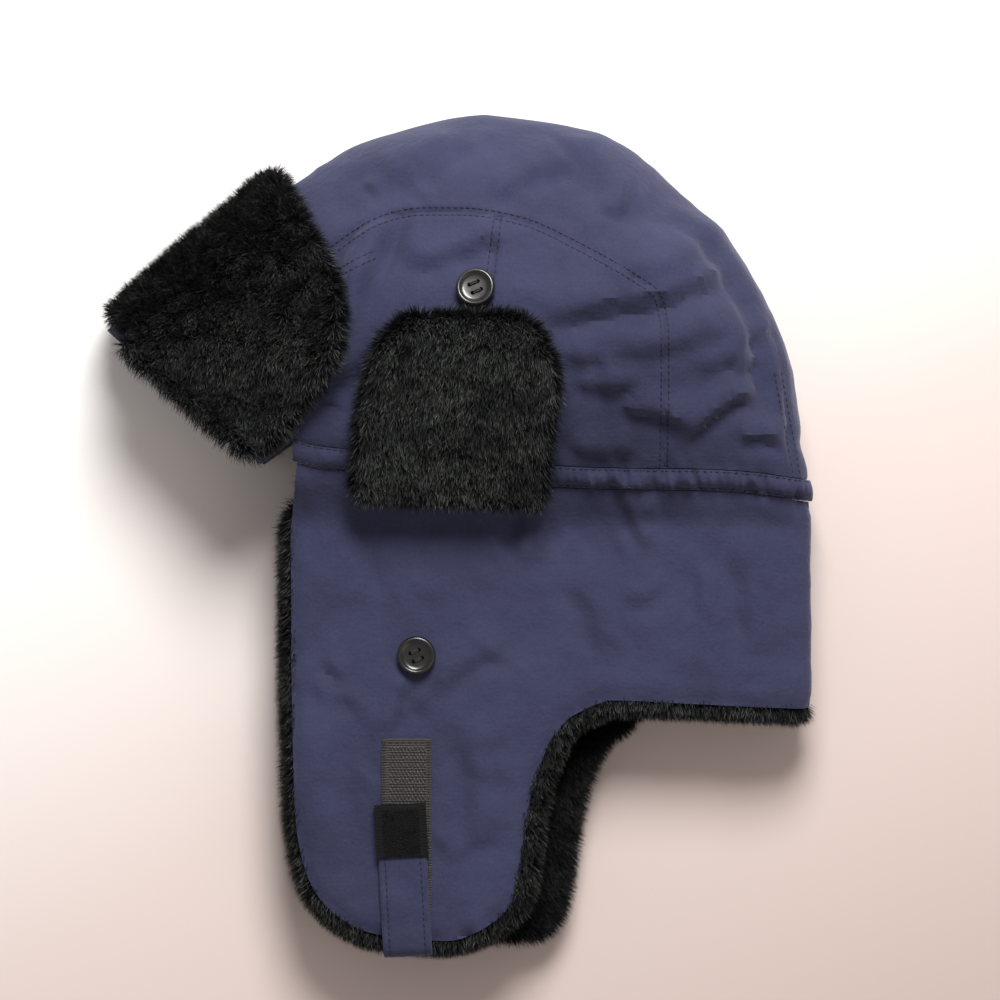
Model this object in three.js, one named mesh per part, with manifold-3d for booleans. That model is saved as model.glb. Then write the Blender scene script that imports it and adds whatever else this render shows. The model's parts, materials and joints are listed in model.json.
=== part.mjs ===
// A padded trapper hat lying on its right side, folded flat along its centre line.
//
// +X runs from the visor to the back of the head, +Y from the ear flaps to the crown, and +Z up
// from the table. The wearer's left side is on top, the right side is underneath. Every cloth,
// padding and fur piece is a slice of one hat-shaped envelope: envelope(depth) is the closed solid
// that lies depth millimetres inside the outer cloth, and layer(a, b) is the skin between two
// depths. A flat outline cuts each piece out of its layer.

import * as THREE from 'three';
import { mergeVertices } from 'three/addons/utils/BufferGeometryUtils.js';
import Module from 'manifold-3d';

const wasm = await Module();
wasm.setup();

// ---------- driving dimensions, millimetres ----------

const HAT_LENGTH = 284; // visor fold to back fold
const HAT_HEIGHT = 328; // crown top to the foot of the ear flap
const CROWN_DEPTH = 82; // table to the highest point of the crown
const CROWN_FAR_HALF = 15; // crown's lower half, below its fold line
const SKIRT_ROOM = 11.5; // space between the two halves of the skirt's fur

const GAP = 0.3; // clearance between pieces that touch
const CLOTH = 1.3; // outer cloth with its seam allowances
const WADDING = 5.6;
const LINING = 1.2;
const FUR = 10.6; // pile lining of the skirt
const PATCH_CLOTH = 1.2; // cloth backing of the hatches and the visor
const PATCH_FUR = 9; // pile on the hatches and the visor
const LIP_RISE = 1.5; // how far the pile stands above the cloth along the near edges
const FUR_LIP = 1; // scale of how far the pile stands out past the cloth's edge

const CASING_WIDTH = 8.3; // gathered band between crown and skirt
const CASING_RISE = 1.5; // band's outer face above the crown cloth
const ELASTIC_WIDTH = 5;
const ELASTIC = 0.9;

const BUTTON_DIAMETER = 15;
const BUTTON_THICK = 3;
const BUTTON_HOLE = 1.7;
const HOLE_SPACING = 3.4; // side of the square of four holes
const FLAP_SHANK = 1.2; // free thread under a flap button
const LOOP_THICK = 1; // elastic cord of the hatch's button loop

const TAPE_WIDTH = 19.5; // hook tape on the ear flap
const TAPE_LENGTH = 74;
const TAPE_THICK = 1.6;
const STRAP_WIDTH = 19;
const STRAP_THICK = 1.8;
const PATCH_LENGTH = 20; // loop patch around the end of the chin strap
const PATCH_THICK = 0.9;

// ---------- heights above the table, worked out from the sizes above ----------

const patchStack = 2 * GAP + PATCH_CLOTH + PATCH_FUR; // a hatch or visor half under the crown
const buttonStack = GAP + FLAP_SHANK + BUTTON_THICK; // a button under the far ear flap
const skirtWall = CLOTH + GAP + FUR;
const skirtTop = buttonStack + 2 * skirtWall + SKIRT_ROOM;
const skirtFold = (buttonStack + skirtTop) / 2;
const crownFold = patchStack + CROWN_FAR_HALF;
const strapHeight = skirtTop + GAP + TAPE_THICK + GAP + PATCH_THICK + GAP + STRAP_THICK / 2;

// ---------- outlines, drawn for the nominal hat and stretched to its length and height ----------

const stretchX = HAT_LENGTH / 284;
const stretchY = HAT_HEIGHT / 328;
const at = (x, y) => new THREE.Vector2(x * stretchX, y * stretchY);
const curve = (points, steps) => new THREE.SplineCurve(points.map(([x, y]) => at(x, y))).getPoints(steps);
const corners = (points) => points.map(([x, y]) => at(x, y));

const CROWN_TOP = 164.2;
const RAMP = [2, 12]; // where the far side turns up from the skirt's level to the crown's
const NEAR_RAMP = [2, 20];
const PEAK_Y = 80; // the crown is deepest here
const FAR_PEAK_Y = 110;

// Fold lines that close the envelope in front and behind, by height.
const frontFold = corners([[-95, -190], [-95, 0], [-100, 27], [-128, 50], [-150, 69], [-63, 135.5],
  [-51, 144.5], [-33, 153.5], [-4, 162], [13, CROWN_TOP]]);
const backFold = corners([[140.2, -190], [140.2, 13], [136.7, 37], [134, 57], [128, 75], [120, 91],
  [110, 108], [100, 121.5], [89, 133.5], [78, 143.5], [65, 152.5], [47, 159.3], [13, CROWN_TOP]]);
const LEVELS = [-185, -60, -10, 2, 12, 24, 38, 54, 71, 88, 105, 120, 133, 144, 153, 159.5, 163];

// The seam under the band, from the front corner of the skirt to the back fold.
const bandSeam = [[-61, 28], [-41, 24.6], [42, 18], [107, 16.4], [141, 12.5], [172, 11]];

// The visor's seam: its inner end on the centre fold, its outer end over the skirt's front corner.
const VISOR_FOLD_END = [-136, 80.6];
const VISOR_SIDE_END = [-74, 27.3];

// ---------- envelope ----------

const clamp01 = (t) => Math.min(1, Math.max(0, t));
const smooth = (t) => clamp01(t) ** 2 * (3 - 2 * clamp01(t));
const ramp = (y, from, to) => smooth((y - from * stretchY) / ((to - from) * stretchY));
const mix = (a, b, t) => a + (b - a) * t;

function acrossAt(line, y) {
  const i = Math.max(1, line.findIndex((p) => p.y >= y));
  const [low, high] = [line[i - 1], line[i]];
  return mix(low.x, high.x, (y - low.y) / (high.y - low.y));
}

// Everything that shapes the envelope's section at height y.
function section(y) {
  const top = CROWN_TOP * stretchY;
  const rise = (from) => Math.sqrt(1 - clamp01((y - from * stretchY) / (top - from * stretchY)) ** 2);
  const front = acrossAt(frontFold, Math.min(y, top - 0.01));
  const back = acrossAt(backFold, Math.min(y, top - 0.01));
  const turn = ramp(y, ...RAMP);
  const fold = mix(skirtFold, crownFold, turn);
  const farHalf = mix(skirtFold - buttonStack, CROWN_FAR_HALF, turn) * rise(FAR_PEAK_Y);
  const step = patchStack - buttonStack;
  const nearFoot = skirtTop + step * ramp(y, ...NEAR_RAMP);
  const nearTop = nearFoot + (CROWN_DEPTH - skirtTop - step) * ramp(y, RAMP[0], PEAK_Y);
  const middle = mix(mix(22, 45, ramp(y, -10, 50)) * stretchX, (front + back) / 2, ramp(y, 100, 150));
  return {
    front, back, fold, middle,
    farHalf,
    nearHalf: (nearTop - fold) * rise(PEAK_Y),
    frontPower: mix(6, 1.5, ramp(y, -10, 60)),
    backPower: mix(6, 2.2, ramp(y, -10, 60)),
  };
}

// Height of the near cloth above (x, y).
function nearHeight(x, y) {
  const s = section(y);
  const span = x < s.middle ? s.middle - s.front : s.back - s.middle;
  const power = x < s.middle ? s.frontPower : s.backPower;
  const share = clamp01(Math.abs(x - s.middle) / span);
  return s.fold + s.nearHalf * (1 - share ** power) ** (1 / power);
}

const NEAR_STEPS = 14;
const FAR_STEPS = 8;
const FAR_POWER = 7;
const FLATTEN = 0.6; // depth by which the far side is pressed flat

function ringPoint(s, depth, i) {
  const isNear = i < NEAR_STEPS;
  const angle = isNear ? Math.PI * i / NEAR_STEPS : Math.PI * (1 + (i - NEAR_STEPS) / FAR_STEPS);
  const c = Math.cos(angle);
  const sine = Math.abs(Math.sin(angle));
  const power = isNear ? (c < 0 ? s.frontPower : s.backPower) : FAR_POWER;
  const span = (c < 0 ? s.middle - s.front : s.back - s.middle) - depth;
  const x = s.middle + Math.sign(c) * span * Math.abs(c) ** (2 / power);
  if (isNear) return [x, s.fold + (s.nearHalf - depth) * sine ** (2 / power)];
  const reach = s.farHalf - depth;
  return [x, s.fold - Math.min(reach, (reach + FLATTEN) * sine ** (2 / power))];
}

const envelopes = new Map();

function envelope(depth) {
  if (!envelopes.has(depth)) envelopes.set(depth, makeEnvelope(depth));
  return envelopes.get(depth);
}

function makeEnvelope(depth) {
  const steps = NEAR_STEPS + FAR_STEPS;
  const positions = [];
  for (const level of LEVELS) {
    const y = level * stretchY;
    const s = section(y);
    const shift = depth * clamp01((level - PEAK_Y) / (CROWN_TOP - PEAK_Y));
    const inner = Math.min(depth, s.nearHalf - 0.5, s.farHalf - 0.5);
    for (let i = 0; i < steps; i += 1) {
      const [x, z] = ringPoint(s, inner, i);
      positions.push(x, y - shift, z);
    }
  }
  const last = LEVELS.length - 1;
  const first = section(LEVELS[0] * stretchY);
  const crown = section(LEVELS[last] * stretchY);
  positions.push(first.middle, LEVELS[0] * stretchY, first.fold);
  positions.push(crown.middle, CROWN_TOP * stretchY - depth, crown.fold);
  const index = [];
  const foot = LEVELS.length * steps;
  for (let i = 0; i < steps; i += 1) {
    const next = (i + 1) % steps;
    index.push(foot, i, next);
    index.push(foot + 1, last * steps + next, last * steps + i);
    for (let j = 0; j < last; j += 1) {
      const a = j * steps + i;
      const b = j * steps + next;
      index.push(a, a + steps, b, b, a + steps, b + steps);
    }
  }
  const geometry = new THREE.BufferGeometry();
  geometry.setAttribute('position', new THREE.Float32BufferAttribute(positions, 3));
  geometry.setIndex(index);
  return solid(geometry);
}

// ---------- solids ----------

function solid(geometry) {
  geometry.deleteAttribute('normal');
  geometry.deleteAttribute('uv');
  const merged = mergeVertices(geometry, 1e-4);
  const index = merged.index.array;
  const faces = [];
  for (let i = 0; i < index.length; i += 3) {
    const [a, b, c] = index.slice(i, i + 3);
    if (a !== b && b !== c && c !== a) faces.push(a, b, c);
  }
  const vertProperties = new Float32Array(merged.attributes.position.array);
  return new wasm.Manifold(new wasm.Mesh({ numProp: 3, vertProperties, triVerts: new Uint32Array(faces) }));
}

function geometryOf(shape) {
  const { vertProperties, triVerts } = shape.getMesh();
  const geometry = new THREE.BufferGeometry();
  geometry.setAttribute('position', new THREE.BufferAttribute(vertProperties, 3));
  geometry.setIndex(new THREE.BufferAttribute(triVerts, 1));
  geometry.computeVertexNormals();
  return geometry;
}

const layer = (outer, inner) => envelope(outer).subtract(envelope(inner));

function prism(outline, bottom = -30, top = 150) {
  const extrude = { depth: top - bottom, bevelEnabled: false, curveSegments: 8 };
  return solid(new THREE.ExtrudeGeometry(new THREE.Shape(outline), extrude).translate(0, 0, bottom));
}

// A closed outline moved outwards; distance may depend on the point's place in the list.
function grown(outline, distance) {
  const turn = THREE.ShapeUtils.area(outline) > 0 ? 1 : -1;
  const count = outline.length;
  const outward = outline.map((point, i) => {
    const along = outline[(i + 1) % count].clone().sub(point).normalize();
    return new THREE.Vector2(along.y * turn, -along.x * turn);
  });
  return outline.map((point, i) => {
    const [before, after] = [outward[(i + count - 1) % count], outward[i]];
    const reach = typeof distance === 'number' ? distance : distance(i);
    const miter = reach / Math.max(0.3, 1 + before.dot(after));
    return point.clone().addScaledVector(before, miter).addScaledVector(after, miter);
  });
}

// ---------- the model ----------

const hat = new THREE.Group();
hat.name = 'trapper_hat';

function add(name, shape, color, roughness) {
  const material = new THREE.MeshStandardMaterial({ color, roughness, metalness: 0 });
  material.name = name;
  const geometry = shape.isBufferGeometry ? shape : geometryOf(shape);
  const mesh = new THREE.Mesh(geometry, material);
  mesh.name = name;
  hat.add(mesh);
  return mesh;
}

const NAVY = '#41435f';
const PILE = '#17191d';
const GREY_WADDING = '#8e9094';
const QUILT = '#23252c';
const BLACK = '#141417';
const TAPE = '#3c3a3c';
const ELASTIC_BLACK = '#1d1d22';

const WHOLE_HAT = corners([[-200, -200], [200, -200], [200, 200], [-200, 200]]);
const ABOVE = 200;
const BELOW = -60;
const nearSide = (fold) => prism(WHOLE_HAT, fold, ABOVE);
const farSide = (fold) => prism(WHOLE_HAT, BELOW, fold);

// ---------- crown: seams of the side panels, then its layers ----------

// The mouth of the crown: along the visor's seam, then along the band.
const seamLine = curve(bandSeam, 15);
const casingLine = seamLine.map((p) => new THREE.Vector2(p.x, p.y + CASING_WIDTH));
const crownRegion = [at(...VISOR_FOLD_END), at(...VISOR_SIDE_END),
  ...casingLine.map((p) => new THREE.Vector2(p.x, p.y + GAP)),
  ...corners([[172, 185], [-90, 185], [-165, 110], [-165, 97]])];

// A side panel is D-shaped: its curved seam runs from the forehead over the ear to the nape.
const SIDE_CURVE = [[-112, 62], [-75, 87], [-30, 119.5], [0, 124], [27, 120], [47, 111], [70, 98]];
const sideSeam = [...curve(SIDE_CURVE, 14), ...corners([[79, 91], [81.7, 80], [82, 60]])];
const MIDDLE_SEAM = [[18, 130], [15, 97], [13, 10]];
const sidePanel = [...sideSeam, ...corners([[82, 8], [-140, 8], [-140, 42]])];
const frontOfMiddle = corners([...MIDDLE_SEAM, [-160, 10], [-160, 130]]);
const backOfMiddle = corners([...MIDDLE_SEAM, [150, 10], [150, 130]]);
const backWrap = corners([[160, 8], [135.5, 8], [134.5, 21], [126.5, 62], [122, 78], [160, 78]]);

const crownPrism = prism(crownRegion);
const outerCloth = layer(0, CLOTH).intersect(crownPrism);
const sidePrism = prism(sidePanel);
const wrapPrism = prism(backWrap);
const farBack = prism(corners([[82, 8], [160, 8], [160, 78], [96, 78], [82, 80]]), BELOW, crownFold);
const farPanel = sidePrism.intersect(farSide(crownFold)).add(farBack).add(wrapPrism);
const nearPanel = sidePrism.intersect(nearSide(crownFold)).subtract(prism(grown(backWrap, GAP)));
const wideSide = prism(grown(sidePanel, GAP));
const wideBackLine = [[82 - GAP, 8], [160, 8], [160, 78 + GAP], [96, 78 + GAP], [82, 80 + GAP]];
const wideBack = prism(corners(wideBackLine), BELOW, crownFold);

const frontCut = prism(grown(frontOfMiddle, -GAP / 2));
const rearCut = prism(grown(backOfMiddle, -GAP / 2));

add('crown_centre_panel',
  outerCloth.subtract(wideSide).subtract(wideBack).subtract(prism(grown(backWrap, GAP))), NAVY, 0.8);
add('crown_side_front_left', outerCloth.intersect(nearPanel).intersect(frontCut), NAVY, 0.8);
add('crown_side_rear_left', outerCloth.intersect(nearPanel).intersect(rearCut), NAVY, 0.8);
add('crown_side_front_right', outerCloth.intersect(farPanel).intersect(frontCut), NAVY, 0.8);
add('crown_side_rear_right', outerCloth.intersect(farPanel).intersect(rearCut), NAVY, 0.8);

const waddingTop = CLOTH + GAP;
const liningTop = waddingTop + WADDING + GAP;
add('crown_wadding', layer(waddingTop, waddingTop + WADDING).intersect(crownPrism), GREY_WADDING, 1);
add('crown_lining', layer(liningTop, liningTop + LINING).intersect(crownPrism), QUILT, 0.7);

// ---------- band: a cloth casing with elastic in it, round the back from ear to ear ----------

function bandStrip(low, high, front) {
  const bottom = seamLine.map((p, i) => new THREE.Vector2(i ? p.x : p.x - front, p.y + low));
  const upper = seamLine.map((p, i) => new THREE.Vector2(i ? p.x : p.x - front, p.y + high));
  return prism([...bottom, ...upper.reverse()]);
}

const CHANNEL_ROOM = 3 * GAP; // room for the elastic inside the casing
const elasticLow = (CASING_WIDTH - ELASTIC_WIDTH) / 2;
const elasticHigh = elasticLow + ELASTIC_WIDTH;
const casing = layer(-CASING_RISE, CLOTH).intersect(bandStrip(GAP, CASING_WIDTH, 0));
const channelStrip = bandStrip(elasticLow - CHANNEL_ROOM, elasticHigh + CHANNEL_ROOM, 10);
const channel = layer(-ELASTIC - GAP, GAP / 2 + GAP).intersect(channelStrip);
const elastic = layer(-ELASTIC + GAP / 2, 0).intersect(bandStrip(elasticLow, elasticHigh, -1));
add('band_casing', casing.subtract(channel), NAVY, 0.8);
add('band_elastic', elastic, ELASTIC_BLACK, 0.9);

// ---------- skirt: neck guard and ear flaps, split along the fold that lifts a flap ----------

// Each point: x, y, and how far the pile stands out past the cloth there.
const FLAP_EDGE = [[-62.6, 1.6, 4], [-62.2, -60, 4], [-61, -106, 4], [-59, -123, 4], [-55, -136, 5],
  [-49, -144.5, 5.5], [-41, -151, 5.5], [-30, -155.5, 5.5], [-10, -158, 5], [2, -158, 5], [12, -153.8, 5.5],
  [20, -148, 6.5], [25, -140, 7], [28, -123, 7], [30, -108, 7], [32.4, -97, 7], [35.5, -87.5, 7],
  [40, -79, 6.5], [46, -71.5, 6], [57.9, -65.8, 6]];
const NECK_EDGE = [[57.9, -65.8, 6], [66, -64.8, 5], [104, -66.6, 4.5], [140, -68.2, 4.5], [172, -68.2, 4.5]];
const NO_SPREAD = [0, 0];
const FAR_SPREAD = [12, -4]; // the far ear flap shows this much behind and below the near one
const SPREAD_FROM = 15; // only the flap's rear edge, past this x, is spread
const LIP_OVERRUN = 6; // pile past each end of the fold line
const FRONT_LIP = 4; // pile past the front edge at the band

function flapOutline(lip, spread, inset) {
  const points = FLAP_EDGE.map(([x, y]) => at(x, y));
  const reach = FLAP_EDGE.map(([, , out]) => out * lip * FUR_LIP);
  const wide = grown(points, (i) => reach[i]);
  const hinge = hingeCut(inset, lip * LIP_OVERRUN);
  const side = new THREE.Vector2(...spread);
  return [...wide.slice(1, -1).map((p) => (p.x > SPREAD_FROM * stretchX ? p.add(side) : p)), ...hinge];
}

const HINGE_FRONT = [-62.6, 1.6];
const HINGE_BACK = [57.9, -65.8];
const hingeDirection = at(...HINGE_BACK).sub(at(...HINGE_FRONT)).normalize();
const towardFlap = new THREE.Vector2(hingeDirection.y, -hingeDirection.x);

// The two ends of the fold line, moved towards the flap and run out past the cloth.
function hingeCut(inset, overrun) {
  const inside = towardFlap.clone().multiplyScalar(inset);
  const moved = (end, along) => at(...end).add(inside).addScaledVector(hingeDirection, along);
  return [moved(HINGE_BACK, overrun), moved(HINGE_FRONT, -overrun)];
}

function neckOutline(lip, topLine) {
  const low = NECK_EDGE.slice(1).map(([x, y, out]) => at(x, y - out * lip * FUR_LIP));
  const upper = topLine.map((p) => p.clone()).reverse();
  const [back, front] = hingeCut(-GAP / 2, lip * LIP_OVERRUN);
  const corner = seamLine[0].clone().add(new THREE.Vector2(-FRONT_LIP * lip * FUR_LIP, -GAP));
  return [front, back, ...low, ...upper, corner];
}

const skirtCloth = layer(0, CLOTH);

// Pile under the cloth that rises round the cloth's edge to its own height.
function pileUnder(pile, cloth, clothGrown, rise) {
  const room = prism(clothGrown).add(cloth).subtract(envelope(CLOTH + GAP));
  return layer(-rise, skirtWall).intersect(pile).subtract(room);
}

// The neck guard's pile runs up behind the band to the crown's wadding.
const neckCloth = prism(neckOutline(0, seamLine));
const neckPile = prism(neckOutline(1, casingLine));
const neckRoom = grown(neckOutline(0, casingLine), GAP);
add('neck_guard_shell', skirtCloth.intersect(neckCloth), NAVY, 0.8);
add('neck_guard_fur', pileUnder(neckPile, neckCloth, neckRoom, 0), PILE, 1);

function earFlap(side, half, spread, rise) {
  const cloth = prism(flapOutline(0, spread, GAP / 2)).intersect(half);
  const pile = prism(flapOutline(1, spread, GAP / 2)).intersect(half);
  const clothGrown = grown(flapOutline(0, spread, GAP / 2), GAP);
  add(`${side}_flap_shell`, skirtCloth.intersect(cloth), NAVY, 0.8);
  add(`${side}_flap_fur`, pileUnder(pile, cloth, clothGrown, rise), PILE, 1);
}

earFlap('left', nearSide(skirtFold), NO_SPREAD, LIP_RISE);
earFlap('right', farSide(skirtFold), FAR_SPREAD, buttonStack);

// ---------- hatches: fur-faced ear pieces sewn under the band and buttoned up to the crown ----------

const HATCH_HINGE = [[-37.5, 17.5], [36.5, 14.5]]; // line that a hatch turns about, just under the band
const HATCH_TIP = 85.2;
const HATCH_EDGE = [[-39, 17], [-35.5, 50], [-30, 71], [-21.5, 82], [-13, HATCH_TIP], [4, HATCH_TIP], [23, 84.8],
  [32, 81.5], [38, 72], [42, 60], [38.5, 36], [37, 15]];
const ROLL_RADIUS = 4; // thick fold that hangs below the hinge line
const ROLL_SIDES = 14;
const ROLL_LIFT = 5.4; // hinge line above the cloth
const HATCH_CLOTH_START = 4; // the backing starts this far above the hinge line
const HATCH_PILE_OVER = 2; // pile past the edge of the backing

const patchLayer = layer(-patchStack, -2 * GAP - PATCH_CLOTH);
const patchBacking = layer(-GAP - PATCH_CLOTH, -GAP);

// A round bar between two points in space.
function bar(from, to, radius, sides = 6) {
  const length = from.distanceTo(to);
  const geometry = new THREE.CylinderGeometry(radius, radius, length, sides);
  const direction = to.clone().sub(from).normalize();
  geometry.applyQuaternion(new THREE.Quaternion().setFromUnitVectors(new THREE.Vector3(0, 1, 0), direction));
  const centre = from.clone().add(to).multiplyScalar(0.5);
  return solid(geometry.translate(centre.x, centre.y, centre.z));
}

// A hinge line over the near cloth, high enough to keep its roll clear of the cloth everywhere.
function nearHinge(start, end) {
  const [a, b] = [at(...start), at(...end)];
  const [za, zb] = [nearHeight(a.x, a.y), nearHeight(b.x, b.y)];
  let lift = 0;
  for (let t = 0; t <= 1; t += 0.1) {
    const cloth = nearHeight(mix(a.x, b.x, t), mix(a.y, b.y, t));
    lift = Math.max(lift, cloth - mix(za, zb, t));
  }
  const up = lift + ROLL_LIFT;
  return [new THREE.Vector3(a.x, a.y, za + up), new THREE.Vector3(b.x, b.y, zb + up)];
}

const lineAt = (points, z) => corners(points).map((p) => new THREE.Vector3(p.x, p.y, z));
const farHinge = (start, end) => lineAt([start, end], patchStack - ROLL_LIFT);

const nearHatchHinge = nearHinge(...HATCH_HINGE);
const farHatchHinge = farHinge(...HATCH_HINGE);
const clothOf = envelope(-GAP);

function hatch(side, half, hinge) {
  const pile = prism(corners(HATCH_EDGE));
  const last = HATCH_EDGE.length - 1;
  const edge = HATCH_EDGE.map(([x, y], i) => at(x, i === 0 || i === last ? y + HATCH_CLOTH_START : y));
  const backing = prism(grown(edge, -HATCH_PILE_OVER));
  const roll = bar(hinge[0], hinge[1], ROLL_RADIUS, ROLL_SIDES).subtract(clothOf);
  add(`${side}_hatch_fur`, patchLayer.intersect(pile).intersect(half).add(roll), PILE, 1);
  const cloth = patchBacking.intersect(backing).intersect(crownPrism).intersect(half);
  add(`${side}_hatch_cloth`, cloth, NAVY, 0.8);
}

hatch('left', nearSide(crownFold), nearHatchHinge);
hatch('right', farSide(crownFold), farHatchHinge);

// ---------- visor: two fur-faced halves of one folded visor, sewn along the forehead's edge ----------

// The pile stops just inside the hinge line, where the roll takes over, so that nothing but the
// roll passes over the cloth as the visor turns down.
const VISOR_EDGE = [[-134.5, 84], [-127.4, 78], [-81.4, 38.5], [-72, 31], [-42, 69], [-41, 92], [-50, 113],
  [-62, 133], [-68, 141.5], [-82, 139.5], [-140, 96]];
const VISOR_BACKING = [[-129, 83], [-83, 42], [-70, 38], [-45, 71], [-44, 91], [-65, 131], [-74, 138],
  [-136, 93]];
const VISOR_HINGE = [[-128, 75.5], [-76, 30.7]];

const nearVisorHinge = nearHinge(...VISOR_HINGE);
const farVisorHinge = farHinge(...VISOR_HINGE);

function visorHalf(side, half, hinge) {
  const roll = bar(hinge[0], hinge[1], ROLL_RADIUS, ROLL_SIDES).subtract(clothOf);
  const pile = patchLayer.intersect(prism(corners(VISOR_EDGE))).intersect(half);
  add(`visor_${side}_fur`, pile.add(roll), PILE, 1);
  const cloth = patchBacking.intersect(prism(corners(VISOR_BACKING))).intersect(half);
  add(`visor_${side}_cloth`, cloth, NAVY, 0.8);
}

visorHalf('left', nearSide(crownFold + GAP / 2), nearVisorHinge);
visorHalf('right', farSide(crownFold - GAP / 2), farVisorHinge);

// ---------- buttons: four-hole shanked buttons sewn on with black thread ----------

const LOOP_REACH = 4.2; // radius of the button loop round the threads
const LOOP_TAIL = 8; // loop's ends below the button's centre
const LOOP_FOOT = 2.5; // half the distance between its two ends
const THREAD = 0.51; // radius of a bundle of sewing thread
const HOLE_TURN = 0.4; // radians the holes are turned from square
const BUTTON_CLEAR = 0.9; // crown button's edge past the hatch's tip
const CROWN_BUTTON = [10, HATCH_TIP + (BUTTON_DIAMETER / 2 + BUTTON_CLEAR) / stretchY];
const FLAP_BUTTON = [-13.5, -47.2];
const CROWN_SHANK = GAP + LOOP_THICK + GAP;

// Half section of a button, in shares of its radius and its thickness: a dished face and a raised rim.
const DISH = 0.6;
const BUTTON_PROFILE = [[0, 0], [0.75, 0], [0.93, 0.2], [1, 0.5], [0.97, 0.85], [0.89, 1], [0.8, 0.93],
  [0.66, 0.66], [0, DISH]];

function buttonShape() {
  const r = BUTTON_DIAMETER / 2;
  const t = BUTTON_THICK;
  const profile = BUTTON_PROFILE.map(([x, y]) => new THREE.Vector2(x * r, y * t));
  const disc = new THREE.LatheGeometry(profile, 24).rotateX(Math.PI / 2);
  let shape = solid(disc);
  for (const [x, y] of holePlaces()) {
    const hole = new THREE.CylinderGeometry(BUTTON_HOLE / 2, BUTTON_HOLE / 2, 3 * t, 8).rotateX(Math.PI / 2);
    shape = shape.subtract(solid(hole.translate(x, y, 0)));
  }
  return shape;
}

function holePlaces() {
  return [0, 1, 2, 3].map((i) => {
    const angle = HOLE_TURN + Math.PI / 4 + i * Math.PI / 2;
    const reach = HOLE_SPACING / Math.SQRT2;
    return [reach * Math.cos(angle), reach * Math.sin(angle)];
  });
}

// Two bridges of thread across the holes and their legs down to the cloth, each one solid.
function threadShape(shank) {
  const places = holePlaces();
  const thread = THREAD;
  const top = DISH * BUTTON_THICK + thread + GAP;
  const bridges = [[0, 1], [3, 2]].map(([a, b]) => {
    const [from, to] = [places[a], places[b]].map(([x, y]) => new THREE.Vector3(x, y, top));
    const foot = -shank + GAP / 2;
    const legs = [from, to].map((p) => bar(p.clone().setZ(top + thread), p.clone().setZ(foot), thread));
    return bar(from, to, thread).add(legs[0]).add(legs[1]);
  });
  const ties = [[0, 2], [1, 3]].map(([a, b]) => {
    const [from, to] = [places[a], places[b]].map(([x, y]) => new THREE.Vector3(x, y, -shank / 2));
    return bar(from, to, shank / 2 - GAP / 2);
  });
  return bridges[0].add(bridges[1]).add(ties[0]).add(ties[1]);
}

const STEP = 3; // how far from a point the slope of the cloth is taken

// Seats a shape on the cloth: local +Z along the outward normal, shank millimetres above it.
function seat(shape, [x, y], shank, isNear) {
  const p = at(x, y);
  const geometry = geometryOf(shape);
  if (isNear) {
    const slopeX = (nearHeight(p.x + STEP, p.y) - nearHeight(p.x - STEP, p.y)) / (2 * STEP);
    const slopeY = (nearHeight(p.x, p.y + STEP) - nearHeight(p.x, p.y - STEP)) / (2 * STEP);
    const normal = new THREE.Vector3(-slopeX, -slopeY, 1).normalize();
    geometry.translate(0, 0, shank);
    geometry.applyQuaternion(new THREE.Quaternion().setFromUnitVectors(new THREE.Vector3(0, 0, 1), normal));
    return geometry.translate(p.x, p.y, nearHeight(p.x, p.y));
  }
  const cloth = y > RAMP[1] ? patchStack : buttonStack;
  return geometry.translate(0, 0, shank).rotateX(Math.PI).translate(p.x, p.y, cloth);
}

const BUTTONS = [['crown', CROWN_BUTTON, CROWN_SHANK], ['flap', FLAP_BUTTON, FLAP_SHANK]];
for (const [side, isNear] of [['left', true], ['right', false]]) {
  for (const [name, place, shank] of BUTTONS) {
    add(`${name}_button_${side}`, seat(buttonShape(), place, shank, isNear), BLACK, 0.25);
    add(`${name}_button_thread_${side}`, seat(threadShape(shank), place, shank, isNear), BLACK, 0.9);
  }
}

// ---------- hook tape and chin strap ----------

const FLAP_FOOT = -158;
const TAPE_INSET = 4.5; // tape's lower end up from the flap's foot
const TAPE_TOP = [-17.5, FLAP_FOOT + (TAPE_INSET + TAPE_LENGTH) / stretchY]; // centre of its upper end
const STRAP_LEAN = 0.055; // radians that the strap leans from the tape
const STRAP_END = [-20, -106]; // centre of the strap's free end
const STRAP_OVER = 2.7; // strap's fold past the flap's foot
const STRAP_ROLL = 1.5; // radius of the fold at the strap's foot
const PATCH_OVER = 0.5; // loop patch past each edge of the strap

function strip(topCentre, width, length, lean, low, high) {
  const shape = solid(new THREE.BoxGeometry(width, length, high - low).translate(0, -length / 2, 0));
  const p = at(...topCentre);
  const geometry = geometryOf(shape).rotateZ(lean).translate(p.x, p.y, (low + high) / 2);
  return solid(geometry);
}

const tape = (low) => strip(TAPE_TOP, TAPE_WIDTH, TAPE_LENGTH, 0, low, low + TAPE_THICK);
add('hook_tape_left', tape(skirtTop + GAP), TAPE, 0.9);
add('hook_tape_right', tape(buttonStack - GAP - TAPE_THICK), TAPE, 0.9);

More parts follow.
